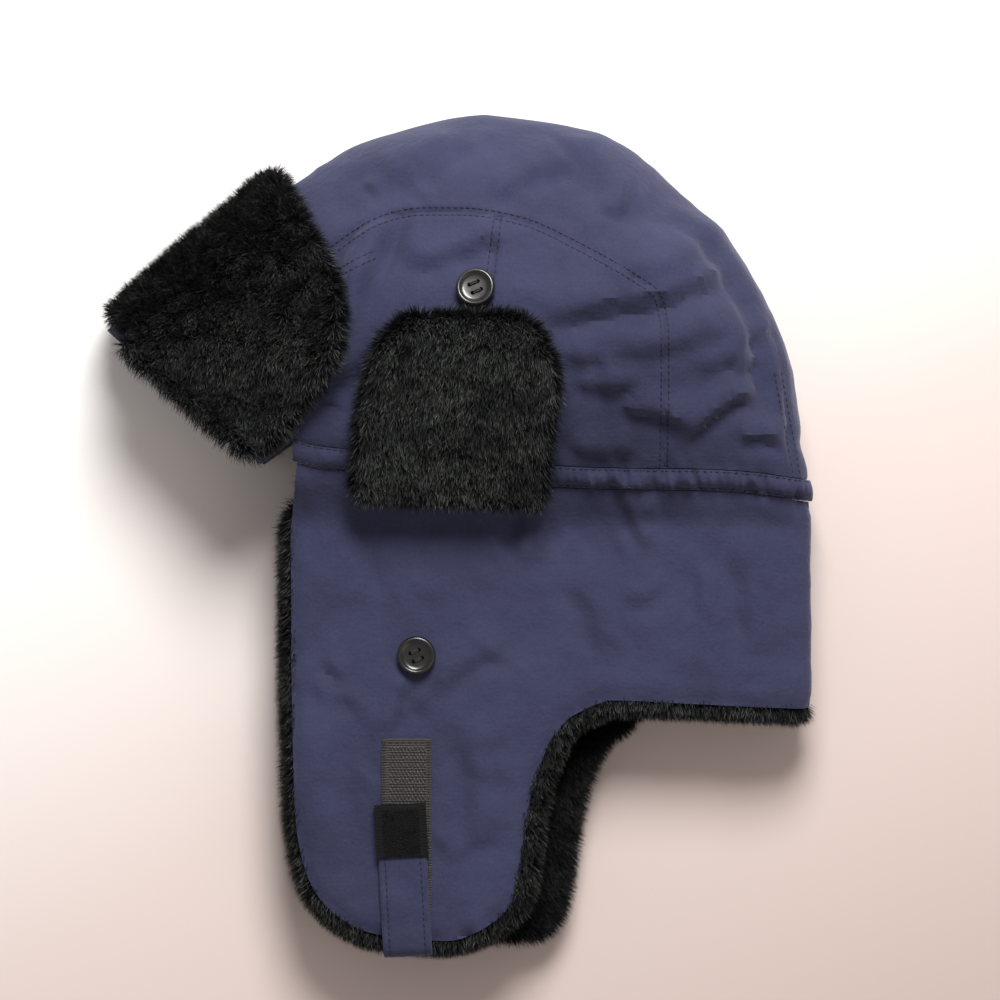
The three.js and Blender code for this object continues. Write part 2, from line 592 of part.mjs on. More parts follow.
const strapLength = (STRAP_END[1] - FLAP_FOOT) * stretchY + STRAP_OVER;
const strapBody = (grow) => strip(STRAP_END, STRAP_WIDTH + 2 * grow, strapLength, STRAP_LEAN,
  strapHeight - STRAP_THICK / 2 - grow, strapHeight + STRAP_THICK / 2 + grow);
const downStrap = new THREE.Vector2(Math.sin(STRAP_LEAN), -Math.cos(STRAP_LEAN));
const foot = at(...STRAP_END).addScaledVector(downStrap, strapLength);
const across = new THREE.Vector2(Math.cos(STRAP_LEAN), Math.sin(STRAP_LEAN)).multiplyScalar(STRAP_WIDTH / 2);
const strapHinge = [foot.clone().sub(across), foot.clone().add(across)]
  .map((p) => new THREE.Vector3(p.x, p.y, strapHeight));
add('chin_strap', strapBody(0).add(bar(...strapHinge, STRAP_ROLL)), NAVY, 0.8);

const patchOuter = PATCH_THICK + GAP + STRAP_THICK / 2;
const patchCentre = [STRAP_END[0], STRAP_END[1] + (GAP + PATCH_THICK) / stretchY];
const patchWidth = STRAP_WIDTH + 2 * PATCH_OVER;
const patch = strip(patchCentre, patchWidth, PATCH_LENGTH, STRAP_LEAN,
  strapHeight - patchOuter, strapHeight + patchOuter);
const pocketTop = [STRAP_END[0], STRAP_END[1] + GAP / stretchY];
const pocket = strip(pocketTop, 2 * patchWidth, 2 * PATCH_LENGTH, STRAP_LEAN,
  strapHeight - STRAP_THICK / 2 - GAP, strapHeight + STRAP_THICK / 2 + GAP);
add('strap_loop_patch', patch.subtract(pocket), BLACK, 1);

// The strap's root stands on the pile just past the flap's cloth, under the strap's fold.
const ROOT_LENGTH = 3.6;
const rootTop = [foot.x / stretchX, (foot.y + ROOT_LENGTH / 2) / stretchY];
add('chin_strap_root', strip(rootTop, STRAP_WIDTH, ROOT_LENGTH, STRAP_LEAN,
  skirtTop + LIP_RISE + GAP, strapHeight - STRAP_ROLL - GAP), NAVY, 0.8);

// ---------- button loops: elastic cord from each hatch's tip round the crown button's shank ----------

function buttonLoop(isNear) {
  const [x, y] = CROWN_BUTTON;
  const r = LOOP_REACH;
  const half = [[LOOP_FOOT, -LOOP_TAIL], [r - 0.3, -LOOP_TAIL / 2], [r, 0.5]];
  const other = half.map(([u, v]) => [-u, v]);
  const route = [...other, [0, r + 0.4], ...half.reverse()];
  const path = new THREE.CatmullRomCurve3(route.map(([u, v]) => new THREE.Vector3(u, v, 0)));
  const ring = new THREE.EllipseCurve(0, 0, LOOP_THICK / 2, LOOP_THICK / 2).getPoints(8).slice(0, 8);
  const section = new THREE.Shape(ring);
  const along = { extrudePath: path, steps: 24, bevelEnabled: false };
  const cord = solid(new THREE.ExtrudeGeometry(section, along));
  return seat(cord, [x, y], GAP + LOOP_THICK / 2, isNear);
}

add('left_hatch_loop', buttonLoop(true), BLACK, 0.9);
add('right_hatch_loop', buttonLoop(false), BLACK, 0.9);

// ---------- the hat stands centred on the origin ----------

hat.updateMatrixWorld(true);
const bounds = new THREE.Box3().setFromObject(hat, true);
const centre = bounds.getCenter(new THREE.Vector3());
hat.position.set(-centre.x, -centre.y, -bounds.min.z);

// Each flap turns about a line level with the outer face of its pile's lip, so that nothing of it
// stands past the line to run into the neck guard.
hat.userData.hinges = {
  left_flap: lineAt([HINGE_FRONT, HINGE_BACK], skirtTop + LIP_RISE),
  right_flap: lineAt([HINGE_FRONT, HINGE_BACK], 0),
  left_hatch: nearHatchHinge,
  right_hatch: farHatchHinge,
  visor_left: nearVisorHinge,
  visor_right: farVisorHinge,
  chin_strap: strapHinge,
};
for (const line of Object.values(hat.userData.hinges)) line.forEach((p) => p.add(hat.position));

export default hat;
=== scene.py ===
import json
import math

import bmesh
import bpy
import numpy as np
from mathutils import Matrix, Vector, noise
from mathutils.bvhtree import BVHTree

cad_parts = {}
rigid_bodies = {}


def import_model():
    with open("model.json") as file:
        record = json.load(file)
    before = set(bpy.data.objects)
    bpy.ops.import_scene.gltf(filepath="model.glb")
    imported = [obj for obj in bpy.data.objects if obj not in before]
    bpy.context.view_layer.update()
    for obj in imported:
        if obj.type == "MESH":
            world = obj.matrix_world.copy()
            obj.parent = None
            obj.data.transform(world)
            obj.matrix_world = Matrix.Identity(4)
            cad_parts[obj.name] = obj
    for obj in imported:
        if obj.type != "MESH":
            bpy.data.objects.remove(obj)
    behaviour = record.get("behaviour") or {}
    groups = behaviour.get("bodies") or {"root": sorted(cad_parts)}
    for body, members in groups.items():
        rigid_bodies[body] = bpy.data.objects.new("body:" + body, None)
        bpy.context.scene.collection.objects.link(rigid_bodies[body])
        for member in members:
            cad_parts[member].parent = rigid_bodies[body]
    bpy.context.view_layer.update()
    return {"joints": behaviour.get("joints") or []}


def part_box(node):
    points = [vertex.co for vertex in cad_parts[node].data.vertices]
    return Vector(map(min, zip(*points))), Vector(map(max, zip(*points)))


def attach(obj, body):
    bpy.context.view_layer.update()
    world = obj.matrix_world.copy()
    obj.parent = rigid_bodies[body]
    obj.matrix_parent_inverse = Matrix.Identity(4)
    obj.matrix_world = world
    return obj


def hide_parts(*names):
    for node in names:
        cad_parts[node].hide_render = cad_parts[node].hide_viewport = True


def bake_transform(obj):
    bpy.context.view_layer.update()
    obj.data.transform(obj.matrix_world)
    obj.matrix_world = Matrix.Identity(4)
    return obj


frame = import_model()
MM = 0.001

# ---------- Table, light and camera ----------
# The hat lies on a pale table, its colour darkened towards the lower right as painted shade for the
# light's falloff, under one big soft window-like light from the crown's side, with a weak warm fill
# from the other side. The camera looks straight down on it.
SHIFT_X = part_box("neck_guard_shell")[1][0] / MM - 140.2  # from the pattern's zero to the frame's
SHIFT_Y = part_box("crown_centre_panel")[1][1] / MM - 164.2
VIEW_WIDTH = 0.39
CAMERA_HEIGHT = 2.0
MID_HEIGHT = 0.035


class Value:
    """A value socket in a material, so that sums on it add Math nodes."""

    def __init__(self, look, socket):
        self.look = look
        self.socket = socket

    def _math(self, operation, *values):
        sockets = dict(enumerate(values))
        return self.look.add("ShaderNodeMath", {"operation": operation, "use_clamp": False}, sockets)

    def __add__(self, other): return self._math("ADD", self, other)
    def __radd__(self, other): return self._math("ADD", other, self)
    def __sub__(self, other): return self._math("SUBTRACT", self, other)
    def __rsub__(self, other): return self._math("SUBTRACT", other, self)
    def __mul__(self, other): return self._math("MULTIPLY", self, other)
    def __rmul__(self, other): return self._math("MULTIPLY", other, self)
    def __pow__(self, other): return self._math("POWER", self, other)


class Look:
    """One material: add() makes a node from its type, its settings and its sockets."""

    def __init__(self, name, **constants):
        self.material = bpy.data.materials.new(name)
        self.material.use_nodes = True
        self.tree = self.material.node_tree
        self.shader = self.tree.nodes["Principled BSDF"]
        for socket, value in constants.items():
            self.shader.inputs[socket.replace("_", " ")].default_value = value

    def add(self, kind, settings, sockets, output=0):
        node = self.tree.nodes.new(kind)
        for key, value in settings.items():
            if key == "stops":
                self._set_ramp(node.color_ramp, value)
            else:
                setattr(node, key, value)
        for key, value in sockets.items():
            if isinstance(value, Value):
                self.tree.links.new(value.socket, node.inputs[key])
            else:
                node.inputs[key].default_value = value
        return Value(self, node.outputs[output])

    def _set_ramp(self, ramp, stops):
        while len(ramp.elements) < len(stops):
            ramp.elements.new(0.5)
        for element, (place, colour) in zip(ramp.elements, stops):
            element.position = place
            element.color = colour if len(colour) == 4 else (*colour, 1)

    def use(self, socket, value):
        self.tree.links.new(value.socket, self.shader.inputs[socket])

    def place(self):
        return self.add("ShaderNodeTexCoord", {}, {}, "Object")

    def noise(self, scale, detail=2.0, rough=0.5, place=None):
        place = place or self.place()
        return self.add("ShaderNodeTexNoise", {}, {"Vector": place, "Scale": scale, "Detail": detail,
                                                   "Roughness": rough}, "Fac")

    def ramp(self, value, *stops):
        return self.add("ShaderNodeValToRGB", {"stops": stops}, {"Fac": value})

    def blend(self, factor, a, b):
        return self.add("ShaderNodeMix", {"data_type": "RGBA"}, {0: factor, 6: a, 7: b}, 2)

    def bump(self, height, distance, strength=1.0):
        normal = self.add("ShaderNodeBump", {}, {"Height": height, "Distance": distance,
                                                 "Strength": strength})
        self.use("Normal", normal)


def table_look_painted_shade():
    look = Look("table_card_painted_shade", Roughness=0.85)
    # Painted shade: the colour goes from near white to a brownish pink towards +X and -Y, standing in for the
    # light's falloff over the table.
    across = look.add("ShaderNodeSeparateXYZ", {}, {"Vector": look.place()}, "X")
    along = look.add("ShaderNodeSeparateXYZ", {}, {"Vector": look.place()}, "Y")
    tone = 0.5 + across - 1.6 * along
    look.use("Base Color", look.ramp(tone, (0.25, (0.95, 0.94, 0.93)), (0.6, (0.74, 0.635, 0.60)),
                                     (1.0, (0.57, 0.465, 0.425))))
    return look.material


bpy.ops.mesh.primitive_plane_add(size=6, location=(0, 0, -0.0008))
table = bpy.context.object
table.name = "table_top"
table.data.materials.append(table_look_painted_shade())


def area_light(name, place, aim, size, power, colour):
    light = bpy.data.lights.new(name, "AREA")
    light.shape = "DISK"
    light.size = size
    light.energy = power
    light.color = colour
    lamp = bpy.data.objects.new(name, light)
    lamp.location = place
    lamp.rotation_euler = (Vector(aim) - Vector(place)).to_track_quat("-Z", "Y").to_euler()
    bpy.context.scene.collection.objects.link(lamp)


area_light("window", (0.12, 0.85, 1.0), (0.0, 0.05, 0), 0.6, 23, (1.0, 0.995, 0.98))
area_light("fill", (0.9, -0.7, 1.0), (0, 0, 0), 1.2, 2, (1.0, 0.88, 0.82))

bpy.context.scene.view_settings.view_transform = "Standard"

world = bpy.context.scene.world or bpy.data.worlds.new("room")
bpy.context.scene.world = world
world.use_nodes = True
world.node_tree.nodes["Background"].inputs["Color"].default_value = (1.0, 0.93, 0.90, 1)
world.node_tree.nodes["Background"].inputs["Strength"].default_value = 0.36

camera_data = bpy.data.cameras.new("overhead")
camera_data.lens = camera_data.sensor_width * (CAMERA_HEIGHT - MID_HEIGHT) / VIEW_WIDTH
camera = bpy.data.objects.new("overhead", camera_data)
camera.location = ((18.9 + SHIFT_X) * MM, (13.3 + SHIFT_Y) * MM, CAMERA_HEIGHT)
bpy.context.scene.collection.objects.link(camera)
bpy.context.scene.camera = camera

# ---------- Outer cloth of the crown ----------
# Brushed navy microfibre, cut as a front-to-back strip and two D-shaped side panels, seamed with
# two rows of stitches. Every layer follows one pattern surface, which carries the cloth's folds.
CLOTH = 1.3
GAP = 0.3
WADDING = 5.6
CROWN_TOP = 164.2
CROWN_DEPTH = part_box("crown_side_rear_left")[1][2] / MM + 0.2
CROWN_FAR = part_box("crown_side_front_right")[0][2] / MM  # underside of the crown
SKIRT_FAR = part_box("right_flap_shell")[0][2] / MM
SKIRT_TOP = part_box("left_flap_shell")[1][2] / MM
SKIRT_FOLD = (SKIRT_FAR + SKIRT_TOP) / 2
CROWN_FOLD = CROWN_FAR + 15
FOOT = -186.0

FRONT_FOLD = [(-95, -190), (-95, -100), (-95, 0), (-100, 27), (-128, 50), (-150, 69), (-63, 135.5),
              (-51, 144.5), (-33, 153.5), (-4, 162), (13, CROWN_TOP)]
BACK_FOLD = [(140.2, -190), (140.2, -80), (140.2, 13), (136.7, 37), (134, 57), (128, 75), (120, 91),
             (110, 108), (100, 121.5), (89, 133.5), (78, 143.5), (65, 152.5), (47, 159.3),
             (13, CROWN_TOP)]


def smooth(t):
    t = np.clip(t, 0, 1)
    return t * t * (3 - 2 * t)


def ramp(y, low, high):
    return smooth((y - low) / (high - low))


def mix(a, b, t):
    return a + (b - a) * t


def rounded(points, steps=12):
    """A Catmull-Rom curve through the points."""
    p = np.array([points[0], *points, points[-1]], float)
    t = np.linspace(0, 1, steps, endpoint=False)[:, None]
    spans = []
    for a, b, c, d in zip(p, p[1:], p[2:], p[3:]):
        spans.append(0.5 * (2 * b + (c - a) * t + (2 * a - 5 * b + 4 * c - d) * t ** 2
                            + (3 * b - a - 3 * c + d) * t ** 3))
    return np.vstack([*spans, p[-1:]])


def outline_x(points, y, corner=None):
    """Where a fold line that rises with y stands at height y."""
    if corner:
        low, high = points[:corner + 1], points[corner:]
        line = np.vstack([np.array(low, float), rounded(high)[1:]])
    else:
        line = rounded(points)
    return np.interp(y, line[:, 1], line[:, 0])


def section(y):
    """The pattern surface's measures at heights y."""
    top = CROWN_TOP + 0.001
    front = outline_x(FRONT_FOLD, y, corner=5)
    back = outline_x(BACK_FOLD, y)
    turn = ramp(y, 2, 12)
    fold = mix(SKIRT_FOLD, CROWN_FOLD, turn)
    far = mix(SKIRT_FOLD - SKIRT_FAR, 15, turn) * np.sqrt(1 - np.clip((y - 110) / (top - 110), 0, 1) ** 2)
    step = CROWN_FAR - SKIRT_FAR
    near = SKIRT_TOP + step * ramp(y, 2, 20) + (CROWN_DEPTH - SKIRT_TOP - step) * ramp(y, 2, 80)
    near = (near - fold) * np.sqrt(1 - np.clip((y - 80) / (top - 80), 0, 1) ** 2)
    middle = mix(mix(22, 45, ramp(y, -10, 50)), (front + back) / 2, ramp(y, 100, 150))
    front_power = mix(6, 1.5, ramp(y, -10, 60))
    back_power = mix(6, 2.2, ramp(y, -10, 60))
    return front, back, fold, middle, near, far, front_power, back_power


# Folds of the lying cloth: points, height, width, and how far it slopes off on its upper side.
FOLDS = [
    ([(28, 83), (56, 90), (81, 94), (112, 107)], 3.0, 6.0),
    ([(34, 67), (58, 70), (84, 74), (114, 84)], 1.3, 4.5),
    ([(56, 100), (84, 106), (106, 119)], 1.6, 6.0),
    ([(-22, 109), (-10, 107), (8, 112), (22, 119)], 1.6, 4.5),
    ([(86, 37), (99, 48), (108, 54), (120, 55)], 2.6, 4.0),
    ([(109, 38), (121, 40), (130, 35)], 1.8, 3.2),
    ([(64, 52), (81, 48), (93, 45)], 2.0, 4.2),
    ([(108, 63), (119, 70)], 1.5, 3.5),
    ([(92, 62), (106, 70), (120, 84)], 1.4, 4.5),
    ([(46, 60), (60, 58), (74, 61)], 1.3, 4.0),
    ([(44, 36), (58, 33), (72, 36)], 1.2, 4.0),
    ([(81, 132), (94.6, 120), (104, 111), (111.7, 102), (118, 89), (122, 76), (125.4, 62), (128.5, 46),
      (130.8, 35)], 1.9, 4.5),
    ([(-61, 42), (-54, 52), (-48, 61), (-43.5, 67.5), (-40.5, 79.6), (-36, 94.8), (-30.5, 109.6),
      (-26, 121.7), (-20, 134)], 3.0, 5.5),
    ([(-47, 48), (-38, 66), (-31, 82), (-26, 98), (-19, 110)], 1.7, 5.0),
    ([(-75, 92), (-62, 104), (-48, 112), (-36, 124)], 1.6, 5.0),
    ([(-66, 78), (-58, 90), (-50, 98)], 1.5, 4.0),
    ([(65.3, 23.4), (68.8, 15.6), (72.7, 4), (78, -7.4)], 1.5, 3.5),
    ([(32.2, 12), (28.7, -2), (27, -12)], 1.3, 3.6),
    ([(98.5, -12), (98.5, -34)], 1.0, 3.8),
    ([(-26, -79), (-22, -66), (-18, -53)], 1.5, 3.2),
    ([(-36, -30), (-40, -8), (-48, 10)], 1.2, 6.0),
    ([(45, -12), (58, -28), (62, -48)], 1.2, 6.0),
    ([(110, 4), (118, -20), (120, -50)], 1.2, 7.0),
    ([(5, -70), (12, -95), (10, -125)], 1.2, 6.0),
    ([(-46, -125), (-50, -90), (-47, -60)], 1.0, 6.0),
    ([(-8, -62), (6, -48), (24, -40)], 1.1, 4.5),
    ([(47, 158), (60, 140), (70, 120)], 1.8, 6.0),
    ([(-30, 136), (-12, 146), (4, 158)], 1.6, 6.0),
    ([(12, 128), (30, 142), (52, 146)], 1.4, 5.0),
]


STEEP, GENTLE = 0.75, 1.7  # the two flanks of a wrinkle, in shares of its width
FOLD_RISE = 1.6
VALLEY = 0.6  # depth of the hollow at the foot of the steep flank, in shares of the rise


def soft_creases():
    """Short slack wrinkles over the whole cloth, most of them running down from the crown."""
    dice = np.random.default_rng(17)
    creases = []
    for _ in range(150):
        x, y = dice.uniform(-75, 136), dice.uniform(-158, 158)
        way = dice.normal(math.radians(-70 if y > 20 else -55), 0.75)
        reach = dice.uniform(8, 24)
        bow = dice.uniform(-0.22, 0.22) * reach
        ahead = np.array([math.cos(way), math.sin(way)]) * reach
        side = np.array([-ahead[1], ahead[0]]) / reach * bow
        points = [(x, y), tuple((x, y) + ahead / 2 + side), tuple((x, y) + ahead)]
        creases.append((points, dice.uniform(-0.9, 1.1), dice.uniform(1.8, 4.6)))
    return creases


CREASES = soft_creases()


def wrinkle(gap, width):
    """Cross-section of a slack fold: steep on the right of its line, gentle on the left."""
    ridge = np.exp(-(gap / (width * np.where(gap > 0, GENTLE, STEEP))) ** 2)
    return FOLD_RISE * (ridge - VALLEY * np.exp(-((gap / width + 1.35) / 0.7) ** 2))


def along_line(x, y, points, sided=False):
    """Distance of each point from a polyline, and how far along it the nearest place is."""
    p = np.array(points, float)
    lengths = np.hypot(*(p[1:] - p[:-1]).T)
    starts = np.concatenate([[0], np.cumsum(lengths)])
    best = np.full(x.shape, 1e9)
    place = np.zeros(x.shape)
    for a, b, start, length in zip(p, p[1:], starts, lengths):
        t = np.clip(((x - a[0]) * (b[0] - a[0]) + (y - a[1]) * (b[1] - a[1])) / length ** 2, 0, 1)
        gap = np.hypot(x - a[0] - t * (b[0] - a[0]), y - a[1] - t * (b[1] - a[1]))
        nearer = gap < np.abs(best)
        if sided:
            left = (b[0] - a[0]) * (y - a[1]) - (b[1] - a[1]) * (x - a[0])
            gap = np.where(left < 0, -gap, gap)
        best = np.where(nearer, gap, best)
        place = np.where(nearer, (start + t * length) / starts[-1], place)
    return best, place


def signed_gap(x, y, outline):
    """Distance from a closed outline, negative inside it."""
    line = np.vstack([outline, outline[:1]])
    gap, _ = along_line(x, y, line)
    inside = np.zeros(x.shape, bool)
    for a, b in zip(line, line[1:]):
        crosses = (a[1] > y) != (b[1] > y)
        with np.errstate(divide="ignore", invalid="ignore"):
            inside ^= crosses & (x < (b[0] - a[0]) * (y - a[1]) / (b[1] - a[1]) + a[0])
    return np.where(inside, -gap, gap)


def grown(outline, distance):
    """A closed outline moved outwards; distance is a number or one for each point."""
    line = np.array(outline, float)
    ahead = np.roll(line, -1, 0) - line
    ahead /= np.linalg.norm(ahead, axis=1, keepdims=True)
    x, y = line.T
    turn = 1 if np.sum(x * np.roll(y, -1) - np.roll(x, -1) * y) > 0 else -1
    after = turn * np.stack([ahead[:, 1], -ahead[:, 0]], -1)
    before = np.roll(after, 1, 0)
    reach = np.broadcast_to(distance, len(line)) / np.maximum(0.35, 1 + np.sum(before * after, axis=1))
    return line + (before + after) * reach[:, None]


BAND_SEAM = [(-61, 28), (-41, 24.6), (42, 18), (107, 16.4), (141, 12.5), (172, 11)]
seam_line = rounded(BAND_SEAM)
CASING = 8.3

# Lower edge of the skirt: the ear flap, then the neck guard; the third number is how far the pile
# stands out past the cloth.
FLAP_EDGE = [(-62.6, 1.6, 4), (-62.2, -60, 4), (-61, -106, 4), (-59, -123, 4), (-55, -136, 5),
             (-49, -144.5, 5.5), (-41, -151, 5.5), (-30, -155.5, 5.5), (-10, -158, 5), (2, -158, 5),
             (12, -153.8, 5.5), (20, -148, 6.5), (25, -140, 7), (28, -123, 7), (30, -108, 7), (32.4, -97, 7),
             (35.5, -87.5, 7), (40, -79, 6.5), (46, -71.5, 6), (57.9, -65.8, 6)]
NECK_EDGE = [(66, -64.8, 5), (104, -66.6, 4.5), (140, -68.2, 4.5), (172, -68.2, 4.5)]
HINGE = np.array([(-62.6, 1.6), (57.9, -65.8)])
FAR_SPREAD = (12, -4)


def rounded_edge(points, steps=5):
    """The edge as a smooth curve, with its pile reach carried along."""
    p = np.array([points[0], *points, points[-1]], float)
    t = np.linspace(0, 1, steps, endpoint=False)[:, None]
    spans = [0.5 * (2 * b + (c - a) * t + (2 * a - 5 * b + 4 * c - d) * t ** 2
                    + (3 * b - a - 3 * c + d) * t ** 3) for a, b, c, d in zip(p, p[1:], p[2:], p[3:])]
    return np.vstack([*spans, p[-1:]])


edge_line = rounded_edge(FLAP_EDGE + NECK_EDGE)
top_line = seam_line[::-1]


def skirt_outline(spread=(0, 0)):
    """Cloth outline of one side of the skirt; the far flap's rear edge stands out by spread."""
    edge = edge_line.copy()
    share = smooth((edge[:, 0] - 12) / 8) * smooth((74 - edge[:, 0]) / 25)
    edge[:, :2] += share[:, None] * np.array(spread)
    return np.vstack([edge[:, :2], top_line[top_line[:, 0] > -60]])


SKIRT_EDGE = skirt_outline()


def band_y(x):
    return np.interp(x, seam_line[:, 0], seam_line[:, 1])


def ripple(x, seed, length):
    """An uneven wave along x, from three sines."""
    k = 2 * math.pi / length
    return (np.sin(x * k + seed) + 0.7 * np.sin(x * k * 1.37 + 2.1 * seed)
            + 0.5 * np.sin(x * k * 2.11 + 3.7 * seed)) / 2.2


def relief(x, y):
    """Height of the cloth's folds over the pattern surface, near side."""
    height = -2.0 * np.exp(-(signed_gap(x, y, SKIRT_EDGE) / 3.2) ** 2) * smooth((25 - y) / 15)
    for points, rise, width in FOLDS:
        gap, place = along_line(x, y, points, sided=True)
        taper = np.clip(np.minimum(place, 1 - place) * 4, 0, 1)
        height += rise * smooth(taper) * wrinkle(gap, width)
    for points, rise, width in CREASES:
        (x0, y0), (x1, y1) = points[0], points[2]
        close = (np.abs(x - (x0 + x1) / 2) < 30) & (np.abs(y - (y0 + y1) / 2) < 30)
        gap, place = along_line(x[close], y[close], points, sided=True)
        height[close] += rise * np.sin(math.pi * np.clip(place, 0, 1)) * wrinkle(gap, width)
    for points, _, _ in SEAMS:
        gap, _ = along_line(x, y, points)
        height -= 0.8 * np.exp(-(gap / 1.1) ** 2) - 0.25 * np.exp(-((gap - 2.6) / 1.2) ** 2)
    # The elastic gathers the cloth along the band, towards the back.
    from_band = y - band_y(x) - CASING / 2
    gathered = smooth((x - 20) / 60)
    spread = np.exp(-(from_band / 10) ** 2)
    height += 0.7 * gathered * spread * ripple(x + 0.5 * from_band, 1.0, 9.0)
    height += 0.45 * np.exp(-(np.abs(from_band) / 22) ** 2) * ripple(x - 0.8 * from_band, 4.0, 31.0)
    height -= 0.8 * np.exp(-((from_band + CASING / 2) / 1.6) ** 2)
    height -= 0.8 * np.exp(-((from_band - CASING / 2) / 1.6) ** 2)
    return height


def soft_noise(x, y):
    """Slow unevenness of padded cloth."""
    points = np.stack([x * 0.028, y * 0.028], -1).reshape(-1, 2)
    values = [noise.fractal((a, b, 3.1), 0.8, 2.2, 3) for a, b in points]
    return 1.3 * np.array(values).reshape(x.shape)


def spaced(points, count):
    """A line resampled evenly along its length."""
    steps = np.hypot(*np.diff(points, axis=0).T)
    places = np.concatenate([[0], np.cumsum(steps)])
    even = np.linspace(0, places[-1], count)
    return np.stack([np.interp(even, places, points[:, i]) for i in range(2)], -1)


def pattern_points(depth, across_near, across_far, rows):
    """A closed grid of points on the surface that lies depth under the outer cloth."""
    upper = CROWN_TOP - 1e-3 - 45 * (1 - np.sin(np.linspace(0, math.pi / 2, rows // 3)))
    levels = np.concatenate([np.linspace(FOOT, upper[0], rows - rows // 3, endpoint=False), upper[:-1]])
    levels = np.append(levels, CROWN_TOP - 0.15)
    angle = np.linspace(0, math.pi, 241)
    cosine, sine = np.cos(angle), np.abs(np.sin(angle))
    grid = []
    for y in levels:
        front, back, fold, middle, near, far, front_power, back_power = (float(v) for v in section(y))
        inner = min(depth, near - 0.4, far - 0.4)
        power = np.where(cosine < 0, front_power, back_power)
        span = np.where(cosine < 0, middle - front, back - middle) - inner
        x = middle + np.sign(cosine) * span * np.abs(cosine) ** (2 / power)
        near_arc = np.stack([x, fold + (near - inner) * sine ** (2 / power)], -1)
        span = np.where(cosine < 0, middle - front, back - middle) - inner
        x = middle + np.sign(cosine) * span * np.abs(cosine) ** (2 / 7)
        reach = far - inner
        far_arc = np.stack([x, fold - np.minimum(reach, (reach + 0.6) * sine ** (2 / 7))], -1)
        ring = np.vstack([spaced(near_arc, across_near)[:-1], spaced(far_arc[::-1], across_far)[:-1]])
        shift = depth * np.clip((y - 80) / (CROWN_TOP - 80), 0, 1)
        grid.append(np.stack([ring[:, 0], np.full(len(ring), y - shift), ring[:, 1]], -1))
    return np.array(grid)


def grid_normals(grid):
    around = np.roll(grid, -1, 1) - np.roll(grid, 1, 1)
    up = np.gradient(grid, axis=0)
    normal = np.cross(up, around)
    return normal / np.maximum(np.linalg.norm(normal, axis=2, keepdims=True), 1e-9)


def pattern_surface(depth, across_near=150, across_far=90, rows=170, folds=1.0, extra=None):
    """Points and faces of the closed surface depth under the outer cloth, with the cloth's folds."""
    grid = pattern_points(depth, across_near, across_far, rows)
    if folds:
        normal = grid_normals(grid)
        x, y = grid[..., 0], grid[..., 1]
        lift = relief(x, y) * smooth((grid[..., 2] - CROWN_FOLD + 4) / 8)
        lift = lift + soft_noise(x, y) * smooth((grid[..., 2] - 12) / 10)
        if extra:
            lift = lift + extra(x, y, grid[..., 2])
        edge = smooth((CROWN_TOP - 1 - y) / 14)
        grid = grid + folds * (lift * edge)[..., None] * normal
    rows, across = grid.shape[:2]
    points = grid.reshape(-1, 3)
    index = np.arange(rows * across).reshape(rows, across)
    nxt = np.roll(index, -1, 1)
    faces = np.stack([index[:-1], index[1:], nxt[1:], nxt[:-1]], -1).reshape(-1, 4).tolist()
    faces.append(list(range(across)))
    faces.append(list(range(rows * across - 1, (rows - 1) * across - 1, -1)))
    return points, faces


def new_object(name, points, faces):
    mesh = bpy.data.meshes.new(name)
    mesh.from_pydata([tuple(p) for p in points], [], faces)
    mesh.update()
    piece = bpy.data.objects.new(name, mesh)
    bpy.context.scene.collection.objects.link(piece)
    return piece


def layer(name, outer, inner, **sizes):
    """The closed skin between two depths."""
    points, faces = pattern_surface(outer, **sizes)
    inner_points, inner_faces = pattern_surface(inner, **sizes)
    shift = len(points)
    turned = [[i + shift for i in reversed(face)] for face in inner_faces]
    return new_object(name, np.vstack([points, inner_points]), faces + turned)


def prism(outline, low=-40.0, high=160.0):
    """An upright solid over a flat outline."""
    line = np.array(outline, float)
    x, y = line[:, 0], line[:, 1]
    if np.sum(x * np.roll(y, -1) - np.roll(x, -1) * y) < 0:
        line = line[::-1]
    count = len(line)
    points = [(x, y, low) for x, y in line] + [(x, y, high) for x, y in line]
    faces = [[(i + 1) % count, i, i + count, (i + 1) % count + count][::-1] for i in range(count)]
    faces.append(list(range(count))[::-1])
    faces.append(list(range(count, 2 * count)))
    return new_object("pattern_cut", points, faces)


def cut(piece, *steps):
    """Intersects a piece with, or takes from it, each solid in turn."""
    for operation, tool in steps:
        modifier = piece.modifiers.new("cut", "BOOLEAN")
        modifier.operation = operation
        modifier.solver = "MANIFOLD"
        modifier.object = tool
        graph = bpy.context.evaluated_depsgraph_get()
        mesh = bpy.data.meshes.new_from_object(piece.evaluated_get(graph), depsgraph=graph)
        piece.modifiers.clear()
        old = piece.data
        piece.data = mesh
        bpy.data.meshes.remove(old)
    return piece


def copy_of(piece, name):
    new = piece.copy()
    new.data = piece.data.copy()
    new.name = name
    bpy.context.scene.collection.objects.link(new)
    return new


def finish_piece(piece, name, material, angle=40):
    """Puts a piece from the pattern's millimetres into the frame's metres and dresses it."""
    piece.name = name
    piece.data.name = name
    piece.data.transform(Matrix.Scale(MM, 4) @ Matrix.Translation((SHIFT_X, SHIFT_Y, 0)))
    piece.data.materials.clear()
    piece.data.materials.append(material)
    piece.data.polygons.foreach_set("use_smooth", [True] * len(piece.data.polygons))
    piece.data.set_sharp_from_angle(angle=math.radians(angle))
    return piece


SIDE_SEAM = np.vstack([
    rounded([(-112, 62), (-75, 87), (-30, 119.5), (0, 124), (27, 120), (47, 111), (70, 98), (79, 91),
             (81.7, 80)]),
    [(82, 60), (82, 8)]])
SHORT_SEAM = np.array([(18, 121.5), (15, 97), (13, 22)])
FAR_SEAM = np.array([(122, 78), (126.5, 62), (134.5, 21), (135.5, 8)])
FOREHEAD_SEAM = np.array([(-42, 101), (-30, 107)])
SEAMS = [(SIDE_SEAM, 0, 1), (SHORT_SEAM, 0, 1), (FAR_SEAM, 0, 1)]


